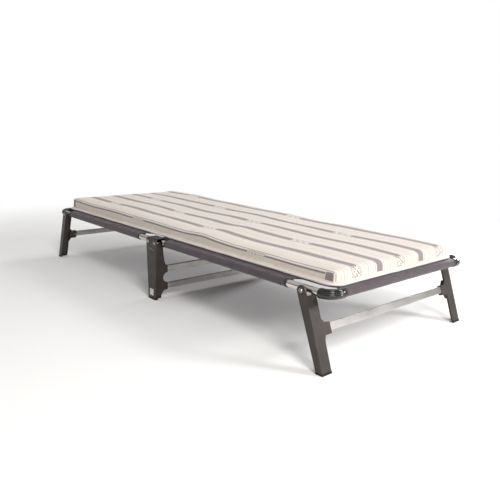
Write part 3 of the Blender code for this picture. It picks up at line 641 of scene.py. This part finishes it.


def mattress_top(x, y):
    """Height of the slack top cloth; the head end is thicker, with shallow ruts across."""
    top = 0.3140 - 0.007 * x / MATTRESS_X + 0.003 * y / MATTRESS_Y
    top = top + 0.0012 * np.sin(9.7 * x + 3.9 * y + 0.4) + 0.0010 * np.sin(17 * x - 6 * y + 1.9)
    top = top + 0.0008 * np.sin(5 * x + 14 * y)
    near = 0.5 - 0.5 * np.tanh(y / 0.12)
    return top + near * (0.0026 * np.exp(-((x - 0.25) / 0.055) ** 2)
                         - 0.0022 * np.exp(-((x - 0.12) / 0.06) ** 2))


def grid_lines(half, pitch):
    """Grid positions across a face: close together over the rounded edges, even between."""
    edge = [half - TOP_EDGE * (1 - cos(radians(a))) for a in (0, 25, 48, 70, 90)]
    edge.append(half - MATTRESS_CORNER)
    inner = half - MATTRESS_CORNER
    steps = round(2 * inner / pitch)
    flat = [-inner + 2 * inner * i / steps for i in range(1, steps)]
    return sorted({-e for e in edge} | set(flat) | set(edge))


def round_corner(x, y):
    """Move a point of the square grid on to the outline with rounded corners."""
    corner = MATTRESS_CORNER
    cx, cy = MATTRESS_X - corner, MATTRESS_Y - corner
    a, b = (abs(x) - cx) / corner, (abs(y) - cy) / corner
    if a > 0 and b > 0:
        a, b = a * sqrt(1 - b * b / 2), b * sqrt(1 - a * a / 2)
        x, y = (cx + a * corner) * np.sign(x), (cy + b * corner) * np.sign(y)
    inset = corner * (1 - hypot(a, b)) if a > 0 and b > 0 else min(
        MATTRESS_X - abs(x), MATTRESS_Y - abs(y))
    return x, y, inset


def set_field(thing, name, values):
    """Store one number or one vector for each point of a mesh."""
    values = np.asarray(values, np.float32)
    kind = "FLOAT" if values.ndim == 1 else "FLOAT_VECTOR"
    field = thing.data.attributes.new(name, kind, "POINT")
    field.data.foreach_set("value" if values.ndim == 1 else "vector", values.ravel())


def places(thing):
    """All points of a mesh as an array."""
    co = np.empty(len(thing.data.vertices) * 3, np.float32)
    thing.data.vertices.foreach_get("co", co)
    return co.reshape(-1, 3).astype(float)


def move_points(thing, co):
    """Put a mesh's points at new places."""
    thing.data.vertices.foreach_set("co", np.asarray(co, np.float32).ravel())
    thing.data.update()


def lay_pattern(thing):
    """Measure the ticking's pattern coordinates over the top and down the sides."""
    co = places(thing)
    x, y, z = co.T
    top = mattress_top(x, y)
    drop = z - (top - TOP_EDGE)

    def over_edge(distance, half):
        past = distance - (half - TOP_EDGE)
        bend = half - TOP_EDGE + TOP_EDGE * np.arctan2(past, np.maximum(drop, 1e-9))
        side = half - TOP_EDGE + TOP_EDGE * pi / 2 - drop
        return np.where(past <= 0, distance, np.where(drop >= 0, bend, side))

    ax, ay = np.abs(x), np.abs(y)
    cx, cy = MATTRESS_X - MATTRESS_CORNER, MATTRESS_Y - MATTRESS_CORNER
    past_corner = cy + MATTRESS_CORNER * pi / 2 + (cx - ax)
    turning = cy + MATTRESS_CORNER * np.arctan2(np.maximum(ay - cy, 0), np.maximum(ax - cx, 1e-9))
    around = np.where(ay < cy, ay, np.where(ax < cx, past_corner, turning))
    # both long sides land on the middle of the beige tint, so they read darker: painted shade
    shaded_side_across = np.where(y < 0, -SIDE_SHADE_ACROSS["near"], SIDE_SHADE_ACROSS["far"])
    on_side = (drop < -0.001) & (ay > cy)
    set_field(thing, "across", np.where(on_side, shaded_side_across, np.sign(y) * over_edge(ay, MATTRESS_Y)))
    set_field(thing, "along", np.sign(x) * over_edge(ax, MATTRESS_X))
    set_field(thing, "around", np.sign(y) * around)
    set_field(thing, "end_zone", np.minimum(ax - (MATTRESS_X - END_PIECE), top - 0.004 - z))


PUFF_FRAMES = 8


def puff(thing, held, cap):
    """Blow the cloth out a little by simulation; points below held stay put, none moves past cap."""
    rest = places(thing)
    group = thing.vertex_groups.new(name="held")
    group.add([int(i) for i in np.nonzero(rest[:, 2] < held)[0]], 1.0, "REPLACE")
    cloth = thing.modifiers.new("puff", "CLOTH")
    cloth.settings.use_pressure = True
    cloth.settings.uniform_pressure_force = 4.0
    cloth.settings.effector_weights.gravity = 0.0
    cloth.settings.vertex_group_mass = "held"
    cloth.collision_settings.use_collision = False
    cloth.point_cache.frame_start = 1
    cloth.point_cache.frame_end = PUFF_FRAMES
    for number in range(1, PUFF_FRAMES + 1):
        scene.frame_set(number)
    blown = thing.evaluated_get(bpy.context.evaluated_depsgraph_get()).to_mesh()
    co = np.empty(len(blown.vertices) * 3, np.float32)
    blown.vertices.foreach_get("co", co)
    thing.modifiers.remove(cloth)
    thing.vertex_groups.remove(group)
    scene.frame_set(1)
    shift = co.reshape(-1, 3) - rest
    size = np.maximum(np.linalg.norm(shift, axis=1, keepdims=True), 1e-9)
    move_points(thing, rest + shift / size * cap * np.tanh(size / cap))


def build_mattress():
    """Foam mattress in its striped cover."""
    xs, ys = grid_lines(MATTRESS_X, 0.0095), grid_lines(MATTRESS_Y, 0.0095)
    points = []
    for x in xs:
        for y in ys:
            px, py, inset = round_corner(x, y)
            fall = TOP_EDGE - sqrt(max(TOP_EDGE ** 2 - max(TOP_EDGE - inset, 0) ** 2, 0))
            points.append((px, py, float(mattress_top(px, py)) - fall))
    rows = len(ys)
    faces = [(i * rows + j, (i + 1) * rows + j, (i + 1) * rows + j + 1, i * rows + j + 1)
             for i in range(len(xs) - 1) for j in range(rows - 1)]
    last = (len(xs) - 1) * rows
    rim = ([i * rows for i in range(len(xs))] + [last + j for j in range(1, rows)]
           + [i * rows + rows - 1 for i in range(len(xs) - 2, -1, -1)] + [j for j in range(rows - 2, 0, -1)])
    upper = rim
    for level in (0.75, 0.5, 0.25, 0.0):
        start = len(points)
        points += [(points[i][0], points[i][1], MATTRESS_LOW + (points[i][2] - MATTRESS_LOW) * level)
                   for i in rim]
        lower = list(range(start, start + len(rim)))
        faces += [(upper[k], upper[(k + 1) % len(rim)], lower[(k + 1) % len(rim)], lower[k])
                  for k in range(len(rim))]
        upper = lower
    faces.append(tuple(reversed(upper)))
    cover = mesh_object("mattress_ticking", points, faces, FINISHES["ticking"])
    face_outwards(cover)
    lay_pattern(cover)
    puff(cover, MATTRESS_LOW + 0.004, 0.0035)
    co = places(cover)
    low = np.clip((MATTRESS_LOW + 0.016 - co[:, 2]) / 0.016, 0, 1)
    pucker = 0.0012 * low * np.sin((co[:, 0] + co[:, 1]) * tau / 0.034)
    outward = np.stack([np.where(np.abs(co[:, 0]) > MATTRESS_X - 0.01, np.sign(co[:, 0]), 0),
                        np.where(np.abs(co[:, 1]) > MATTRESS_Y - 0.01, np.sign(co[:, 1]), 0)], 1)
    co[:, :2] += outward * pucker[:, None]
    move_points(cover, co)
    shape = bmesh.new()
    shape.from_mesh(cover.data)
    bmesh.ops.delete(shape, geom=[f for f in shape.faces if len(f.verts) > 4], context="FACES_ONLY")
    shape.to_mesh(cover.data)
    shape.free()
    smooth = cover.modifiers.new("smooth", "SUBSURF")
    smooth.levels = smooth.render_levels = 1
    settle(cover)
    shape = bmesh.new()
    shape.from_mesh(cover.data)
    bmesh.ops.holes_fill(shape, edges=[e for e in shape.edges if e.is_boundary], sides=0)
    shape.to_mesh(cover.data)
    shape.free()
    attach(cover, "mattress")
    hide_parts("mattress_cover", "mattress_core")
    corners = rounded_rectangle(MATTRESS_X + 0.0008, MATTRESS_Y + 0.0008, MATTRESS_CORNER)
    hem = spaced([Vector((x, y, MATTRESS_LOW + 0.0012)) for x, y in corners], 0.02, closed=True)
    piping = skin("mattress_piping", sweep(hem, oval(0.0016, 0.0016, 8), closed=True),
                  FINISHES["cream_thread"], loop=True)
    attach(piping, "mattress")


BASE_X = 0.9400
BASE_Y = 0.3500
BASE_CORNER = 0.0450
BASE_MIDDLE = 0.2675
BASE_HALF = 0.0048


def build_mattress_base():
    """Cream border of the mattress's underside, a flat padded slab."""
    outline = spaced([Vector((x, y, 0)) for x, y in rounded_rectangle(BASE_X, BASE_Y, BASE_CORNER, 14)],
                     0.012, closed=True)
    rings = []
    for inset, up in ((0.040, -0.96), (0.0045, -1), (0.0013, -0.7), (0.0, -0.25), (0.0, 0.25), (0.0013, 0.7),
                      (0.0045, 1), (0.040, 0.96)):
        shrink = Vector(((BASE_X - inset) / BASE_X, (BASE_Y - inset) / BASE_Y, 1))
        ring = []
        for p in outline:
            wave = 0.0010 * sin(p.x * 31 + p.y * 17) * (1 - inset / 0.040)
            out = 0.0009 * sin(p.x * 46 - p.y * 39)
            ring.append(Vector((p.x * shrink.x, p.y * shrink.y, BASE_MIDDLE + up * BASE_HALF + wave * 0.4))
                        - Vector((np.sign(p.x), np.sign(p.y), 0)) * max(out, 0))
        rings.append(ring)
    base = skin("mattress_base_border", rings, FINISHES["border"], close_first=True, close_last=True)
    co = places(base)
    set_field(base, "cloth", np.stack([co[:, 0], co[:, 1] + co[:, 2], co[:, 2]], 1))
    settle(base)
    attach(base, "mattress")
    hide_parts("mattress_base")
    seam = [Vector((p.x * (BASE_X - 0.007) / BASE_X, p.y * (BASE_Y - 0.007) / BASE_Y,
                    BASE_MIDDLE + BASE_HALF + 0.0003)) for p in outline]
    sew("mattress_base_stitches", [seam + seam[:1]], "mattress", "cream_thread")


# ---- deck cloth -----------------------------------------------------------------------------
CORNER_CURVE = 0.0340      # length of the corner cutout's first curve
SEAM_IN = 0.0260           # sleeve seam inboard of the tube axis ...
SEAM_UP = 0.0125           # ... and above it
END_SLEEVE_Y = 0.3235
TAPE = oval(0.0032, 0.0013)   # binding tape folded over a cut edge


def half_width(x, end):
    """Half width of the deck panel at a distance along it."""
    start, stop = SLEEVE_START_X[end], SLEEVE_END_X[end]
    if x < start:
        reach = (max(x, PANEL_STRIP_X) - HINGE_X) / (start - HINGE_X)
        return RAIL_Y - HINGE_CUTOUT_Y * sqrt(max(1 - reach ** 2, 0))
    if x <= stop:
        return RAIL_Y
    if x < stop + CORNER_CURVE:
        t = (x - stop) / CORNER_CURVE
        return RAIL_Y - (RAIL_Y - CUTOUT_Y) * sin(t * pi / 2) ** 0.8
    t = (x - stop - CORNER_CURVE) / (END_RAIL_X - 0.0125 - stop - CORNER_CURVE)
    return CUTOUT_Y - (CUTOUT_Y - END_SLEEVE_Y) * min(t, 1) ** 6


def panel_stations(end):
    """Positions along a half deck, close together where its outline curves."""
    start, stop = SLEEVE_START_X[end], SLEEVE_END_X[end]
    xs = [0.0, 0.006, 0.012, 0.018, 0.024, PANEL_STRIP_X]
    xs += [HINGE_X + (start - HINGE_X) * sin(radians(a))
           for a in (12, 20, 30, 40, 50, 60, 68, 75, 81, 86, 90)]
    xs += [start + 0.0001 + (stop - start) * i / 40 for i in range(1, 40)] + [stop]
    xs += [stop + CORNER_CURVE * t for t in (0.01, 0.04, 0.10, 0.20, 0.35, 0.55, 0.8, 1.0)]
    first = stop + CORNER_CURVE
    xs += [first + (END_RAIL_X - 0.0125 - first) * t for t in (0.3, 0.55, 0.72, 0.84, 0.92, 1.0)]
    return sorted(set(x for x in xs if x >= 0)) + [END_RAIL_X - 0.006, END_RAIL_X]


def ripple(x, y):
    """Slight drawn wrinkles of the deck cloth beside its sleeves."""
    return 0.0006 * sin(61 * x + 23 * y) * max(0.0, (abs(y) - 0.345) / 0.035)


def build_deck(end, sign):
    """Half deck: one stretched panel with a sleeve round three tubes."""
    stations = panel_stations(end)
    count = 29
    points, area, before = [], 0.0, None
    for x in stations:
        edge = half_width(x, end)
        for j in range(count):
            y = -edge + 2 * edge * j / (count - 1)
            points.append((sign * x, y, PANEL_HEIGHT + ripple(x, y)))
        if before:
            area += (x - before[0]) * (edge + before[1])
        before = (x, edge)
    faces = [(i * count + j, (i + 1) * count + j, (i + 1) * count + j + 1, i * count + j + 1)
             for i in range(len(stations) - 1) for j in range(count - 1)]
    if sign < 0:
        faces = [tuple(reversed(face)) for face in faces]
    half = f"{end}_half"
    cloth = mesh_object(f"{end}_deck_cloth", points, faces, FINISHES["deck"])
    set_field(cloth, "cloth", places(cloth))
    wall = cloth.modifiers.new("wall", "SOLIDIFY")
    wall.thickness = CLOTH_THICKNESS
    wall.offset = 0.0
    settle(cloth)
    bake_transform(cloth)
    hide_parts(f"{end}_deck", *(["deck_centre_strip"] if end == "head" else []))
    extras = []
    for label, side in SIDES.items():
        extras.append(build_side_sleeve(end, sign, label, side))
        extras += build_bindings(end, sign, label, side, stations)
    extras.append(build_end_sleeve(end, sign))
    seams = [[Vector((sign * x, side * (half_width(x, end) - gap), PANEL_HEIGHT + 0.0009)) for x in stations
              if SLEEVE_START_X[end] + 0.004 < x < SLEEVE_END_X[end] - 0.004]
             for side in SIDES.values() for gap in (0.018, 0.024)]
    seams += [[Vector((sign * (END_RAIL_X - gap), y / 100, PANEL_HEIGHT + 0.0009)) for y in range(-32, 33)]
              for gap in (0.018, 0.024)]
    sew(f"{end}_deck_stitches", seams, half)


def sleeve_outline(grow=0.0):
    """Section of a sewn sleeve: (inboard, up) from the tube axis."""
    radius = SLEEVE_RADIUS + grow
    turned_by = atan2(SEAM_UP, SEAM_IN)
    opening = acos(SLEEVE_RADIUS / hypot(SEAM_IN, SEAM_UP))
    first, last = turned_by + opening, turned_by - opening + tau
    steps = 26
    angles = [first + (last - first) * i / steps for i in range(steps + 1)]
    return [(SEAM_IN + grow, SEAM_UP + grow * 0.3)] + [(radius * cos(a), radius * sin(a)) for a in angles]


def sleeve_rings(positions, place, creased=0.0006):
    """Sleeve sections at positions along a tube, with drawn wrinkles."""
    rings = []
    for x in positions:
        ring = []
        for k, (inboard, up) in enumerate(sleeve_outline()):
            turn = atan2(up, inboard)
            drawn = sin(37 * x + 2.3 * turn) * sin(113 * x - 1.7 * turn)
            crease = 1 + creased / SLEEVE_RADIUS * (0.5 + 0.5 * drawn)
            ring.append(place(x, inboard * crease if k else inboard, up * crease if k else up))
        rings.append(ring)
    return rings


def finish_sleeve(name, rings, positions, body):
    """Close a sleeve, lay its weave along the tube, and ride it."""
    sleeve = skin(name, rings, FINISHES["deck"], close_first=True, close_last=True)
    outline = sleeve_outline()
    lengths = [0.0]
    for a, b in zip(outline, outline[1:]):
        lengths.append(lengths[-1] + hypot(b[0] - a[0], b[1] - a[1]))
    set_field(sleeve, "cloth", [(x, length, 0.0) for x in positions for length in lengths])
    settle(sleeve)
    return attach(sleeve, body)


def build_side_sleeve(end, sign, label, side):
    """Sleeve of the deck round one side rail."""
    low, high = SLEEVE_START_X[end] + 0.003, SLEEVE_END_X[end] - 0.003
    positions = [low + (high - low) * i / 90 for i in range(91)]

    def place(x, inboard, up):
        return Vector((sign * x, side * (RAIL_Y - inboard), AXIS_HEIGHT + up))

    return finish_sleeve(f"{end}_side_sleeve_{label}", sleeve_rings(positions, place), positions,
                         f"{end}_half")


def build_end_sleeve(end, sign):
    """Sleeve of the deck round the end rail."""
    positions = [-END_SLEEVE_Y + 0.002 + (2 * END_SLEEVE_Y - 0.004) * i / 80 for i in range(81)]

    def place(y, inboard, up):
        return Vector((sign * (END_RAIL_X - inboard), y, AXIS_HEIGHT + up))

    return finish_sleeve(f"{end}_end_sleeve", sleeve_rings(positions, place), positions, f"{end}_half")


def build_bindings(end, sign, label, side, stations):
    """Black binding: a band round each sleeve mouth and a tape along both cutouts of one side."""
    half = f"{end}_half"
    bands = []
    for start in (SLEEVE_START_X[end], SLEEVE_END_X[end] - 0.009):
        rings = [[Vector((sign * (start + x), side * (RAIL_Y - inboard), AXIS_HEIGHT + up))
                  for inboard, up in sleeve_outline(grow)]
                 for x, grow in ((0.0002, -0.0004), (0.0008, 0.0011), (0.0030, 0.0015), (0.0062, 0.0015),
                                 (0.0083, 0.0011), (0.0089, -0.0004))]
        bands.append(skin_data(rings, close_first=True, close_last=True))
    rings = [[Vector((sign * (END_RAIL_X - inboard), side * y, AXIS_HEIGHT + up))
              for inboard, up in sleeve_outline(grow)]
             for y, grow in ((END_SLEEVE_Y - 0.0089, -0.0004), (END_SLEEVE_Y - 0.0083, 0.0011),
                             (END_SLEEVE_Y - 0.0030, 0.0015), (END_SLEEVE_Y - 0.0008, 0.0011),
                             (END_SLEEVE_Y - 0.0002, -0.0004))]
    bands.append(skin_data(rings, close_first=True, close_last=True))
    corner = [Vector((sign * x, side * half_width(x, end), PANEL_HEIGHT)) for x in stations
              if SLEEVE_END_X[end] <= x <= END_RAIL_X - 0.0125]
    corner.append(Vector((sign * (END_RAIL_X - 0.0125), side * (END_SLEEVE_Y - 0.002), PANEL_HEIGHT)))
    bands.append(skin_data(sweep(spaced(corner, 0.006), TAPE), close_first=True, close_last=True))
    made = several(f"{end}_binding_{label}", bands, FINISHES["tape"])
    set_field(made, "cloth", places(made))
    settle(made)
    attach(made, half)
    arch = [Vector((sign * x, side * half_width(x, end), PANEL_HEIGHT)) for x in stations
            if x <= SLEEVE_START_X[end]]
    tape = skin(f"{end}_hinge_tape_{label}", sweep(spaced(arch, 0.004), TAPE), FINISHES["tape"],
                close_first=True, close_last=True)
    set_field(tape, "cloth", places(tape))
    settle(tape)
    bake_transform(tape)
    return [made, tape]


# ---- tubes, caps and bars -------------------------------------------------------------------
SLOT_X = LEG_PIVOT_X + 0.0040   # middle of the latch slot in the top of each side rail
SLOT_HALF = 0.0225
SLOT_HALF_WIDTH = 0.0035


def build_side_rail(end, sign, label, side):
    """Chromed side rail: a round tube with a latch slot in its top."""
    around, low, high = 64, RAIL_INNER_END, CAP_SIDE_X + CAP_SOCKET
    stations = sorted({low, low + 0.02, high, SLOT_X - SLOT_HALF, SLOT_X + SLOT_HALF}
                      | {SLOT_X + SLOT_HALF * t for t in (-0.9, -0.5, 0, 0.5, 0.9)}
                      | {low + (high - low) * i / 24 for i in range(25)})
    rings = [[Vector((sign * x, side * RAIL_Y + TUBE_RADIUS * sin(tau * (i + 0.5) / around),
                      AXIS_HEIGHT + TUBE_RADIUS * cos(tau * (i + 0.5) / around))) for i in range(around)]
             for x in stations]
    points, faces = skin_data(rings)
    open_faces = []
    for face in faces:
        mid = sum((points[i] for i in face), Vector()) / 4
        in_slot = (abs(mid.x * sign - SLOT_X) < SLOT_HALF and mid.z > AXIS_HEIGHT
                   and abs(mid.y - side * RAIL_Y) < SLOT_HALF_WIDTH)
        if not in_slot:
            open_faces.append(face)
    rail = mesh_object(f"{end}_side_rail_{label}_tube", points, open_faces, FINISHES["chrome"])
    shape = bmesh.new()
    shape.from_mesh(rail.data)
    shape.faces.ensure_lookup_table()
    face = shape.faces[0]
    centre = face.calc_center_median()
    away = centre - Vector((centre.x, side * RAIL_Y, AXIS_HEIGHT))
    if face.normal.dot(away) < 0:
        bmesh.ops.reverse_faces(shape, faces=shape.faces)
    shape.to_mesh(rail.data)
    shape.free()
    wall = rail.modifiers.new("wall", "SOLIDIFY")
    wall.thickness = TUBE_WALL
    wall.offset = -1.0
    settle(rail)
    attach(rail, f"{end}_half")
    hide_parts(f"{end}_side_rail_{label}")


CAP_GROOVES = (8, 30, 52)   # degrees above the outward side
CAP_GROOVE_DEPTH = 0.0016


def build_corner_cap(end, sign, label, side):
    """Moulded elbow: three long grooves round the bend, a collar and a socket at each mouth."""
    around, turns = 96, 30
    centre = Vector((sign * CAP_SIDE_X, side * (RAIL_Y - CAP_BEND), AXIS_HEIGHT))
    straight = RAIL_Y - CAP_BEND - CAP_END_Y
    length = CAP_BEND * pi / 2 + straight

    def section(s, radius, grooved=0.0):
        """Ring round the bent tube at a distance along it."""
        turn = min(s / CAP_BEND, pi / 2)
        past = max(s - CAP_BEND * pi / 2, 0.0)
        out = Vector((sign * sin(turn), side * cos(turn), 0))
        hub = centre + out * CAP_BEND - Vector((0, side * past, 0))
        ring = []
        for i in range(around):
            a = tau * i / around
            dip = sum(np.exp(-((np.degrees(a) - g) / 4.5) ** 2) for g in CAP_GROOVES)
            r = radius - CAP_GROOVE_DEPTH * min(dip, 1.0) * grooved
            ring.append(hub + out * r * cos(a) + Vector((0, 0, r * sin(a))))
        return ring

    bore = TUBE_RADIUS + 0.0003
    rings = [section(0.0102, bore), section(0.0, bore), section(0.0, CAP_RADIUS - 0.0010),
             section(0.0004, CAP_RADIUS - 0.0003), section(0.0014, CAP_RADIUS)]
    for i in range(1, turns):
        s = length * i / turns
        fade = min(1.0, max(0.0, (i / turns - 0.12) / 0.07), max(0.0, (0.84 - i / turns) / 0.07))
        collar = -0.0009 if 0.865 < i / turns < 0.90 else 0.0
        rings.append(section(s, CAP_RADIUS + collar, fade))
    rings += [section(length - 0.0014, CAP_RADIUS), section(length - 0.0004, CAP_RADIUS - 0.0003),
              section(length, CAP_RADIUS - 0.0010), section(length, bore), section(length - 0.0102, bore)]
    cap = skin(f"{end}_corner_elbow_{label}", rings, FINISHES["abs"], close_first=True, close_last=True)
    settle(cap)
    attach(cap, f"{end}_half")
    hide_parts(f"{end}_corner_cap_{label}")


def bar_section():
    """Extruded bar in section: rounded corners and a fine groove near each edge of the wide faces."""
    half_up, half_in, corner = BAR_HEIGHT / 2, BAR_DEPTH / 2, 0.0018
    points = []
    for sign in (1, -1):
        face = arc(half_in - corner, half_up - corner, corner, 90, 0, 4)
        face += [(half_in - (0.0004 if abs(z) == 8.4 else 0), z / 1000)
                 for z in (8.8, 8.4, 8.0, -8.0, -8.4, -8.8)]
        face += arc(half_in - corner, corner - half_up, corner, 0, -90, 4)
        points += [(sign * x, sign * z) for x, z in face]
    return sorted(points, key=lambda p: atan2(p[1], p[0]))


def build_crossbar(name, node, body, low_x, middle_z, tilt=None):
    """Flat hollow bar across the cot; a tilted one leans with its legs."""
    low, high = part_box(node)
    outline = bar_section()
    rings = []
    for y, grow in ((low.y, 0.9), (low.y + 0.0003, 1.0), (high.y - 0.0003, 1.0), (high.y, 0.9)):
        ring = [Vector((low_x + BAR_DEPTH / 2 + x * grow, y, middle_z + z * grow)) for x, z in outline]
        rings.append([tilt @ p for p in ring] if tilt else ring)
    bar = skin(name, rings, FINISHES["bar"], close_first=True, close_last=True)
    settle(bar)
    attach(bar, body)
    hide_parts(node)


def lean(sign):
    """Turn about an end leg pair's pivot axis, from upright to its splay."""
    pivot = Vector((sign * LEG_PIVOT_X, 0, AXIS_HEIGHT))
    turn = Matrix.Rotation(-sign * LEG_SPLAY, 4, "Y")
    return Matrix.Translation(pivot) @ turn @ Matrix.Translation(-pivot)


def build_crossbars():
    """Two bars between the centre legs and one between each pair of end legs."""
    for name, z in CENTRE_BAR_Z.items():
        build_crossbar(f"centre_{name}_crossbar", f"centre_bar_{name}", "centre_frame", -BAR_DEPTH / 2, z)
    for end, sign in ENDS.items():
        outer = LEG_PIVOT_X + END_BAR_LOW_X
        start = outer if sign > 0 else -outer - BAR_DEPTH
        build_crossbar(f"{end}_leg_crossbar", f"{end}_crossbar", f"{end}_legs", start,
                       AXIS_HEIGHT - END_BAR_DOWN, lean(sign))


def build_rivet_heads():
    """Rolled rivet heads on every hinge and leg pin, one mesh for each body."""
    top = LEG_FACE_Y + 0.0003
    groups = {"centre_frame": [(end * HINGE_X, AXIS_HEIGHT) for end in ENDS.values()]}
    for end, sign in ENDS.items():
        groups[f"{end}_half"] = [(sign * LEG_PIVOT_X, AXIS_HEIGHT)]
    for body, spots in groups.items():
        name = f"{body}_rivet_heads"
        mesh = bpy.data.meshes.new(name)
        mesh.from_pydata([(x, side * top, z) for x, z in spots for side in SIDES.values()], [], [])
        guide = bpy.data.objects.new(name + "_guide", mesh)
        scene.collection.objects.link(guide)
        made = run_group(guide, *RIVETS, {"Rim radius": 0.0056, "Rim thickness": 0.0009, "Height": 0.0024,
                                          "Bright": FINISHES["steel"], "Dark": FINISHES["recess"]})
        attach(made, body)


def build_labels():
    """Blank label and blank raised badge on the near centre leg's outer face."""
    face = -LEG_FACE_Y
    for name, finish, x, z, half_x, half_z, slot in (
            ("blank_label", "label", -0.0010, 0.0315, 0.0135, 0.0145, "black_plastic"),
            ("blank_badge", "abs", 0.0080, 0.2190, 0.0220, 0.0060, "black_plastic")):
        outline = [Vector((x + u, 0, z + v)) for u, v in rounded_rectangle(half_x, half_z, 0.0015, 4)]
        rings = [[p + Vector((0, face + d, 0)) for p in outline] for d in (0.0002, -0.0005)]
        rings.append([Vector((x + (p.x - x) * 0.985, face - 0.0006, z + (p.z - z) * 0.97)) for p in outline])
        made = skin(name, rings, FINISHES[finish], close_first=True, close_last=True)
        settle(made)
        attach(made, "centre_frame")


# ---- put it together ------------------------------------------------------------------------
CAD_FINISHES = (   # first matching word of a CAD node's name gives its finish
    ("_pad", "rubber"), ("_plug", "black_nylon"), ("_screw", "steel"), ("_pin", "steel"), ("pin_", "steel"),
    ("cover_", "black_nylon"), ("latch", "black_nylon"), ("leg", "nylon"), ("end_rail", "chrome"),
    ("rail", "chrome"), ("bar", "bar"), ("cap", "abs"), ("mattress", "border"), ("deck", "deck"))


def dress_cad_nodes():
    """Give every CAD node its finish."""
    for name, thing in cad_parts.items():
        finish = next(f for word, f in CAD_FINISHES if word in name)
        for place in thing.material_slots:
            place.material = FINISHES[finish]


place_camera()
light_studio()
lay_floor(FINISHES["floor"])
dress_cad_nodes()
build_mattress()
build_mattress_base()
for end, sign in ENDS.items():
    for label, side in SIDES.items():
        build_side_rail(end, sign, label, side)
        build_corner_cap(end, sign, label, side)
    build_deck(end, sign)
build_crossbars()
build_rivet_heads()
build_labels()
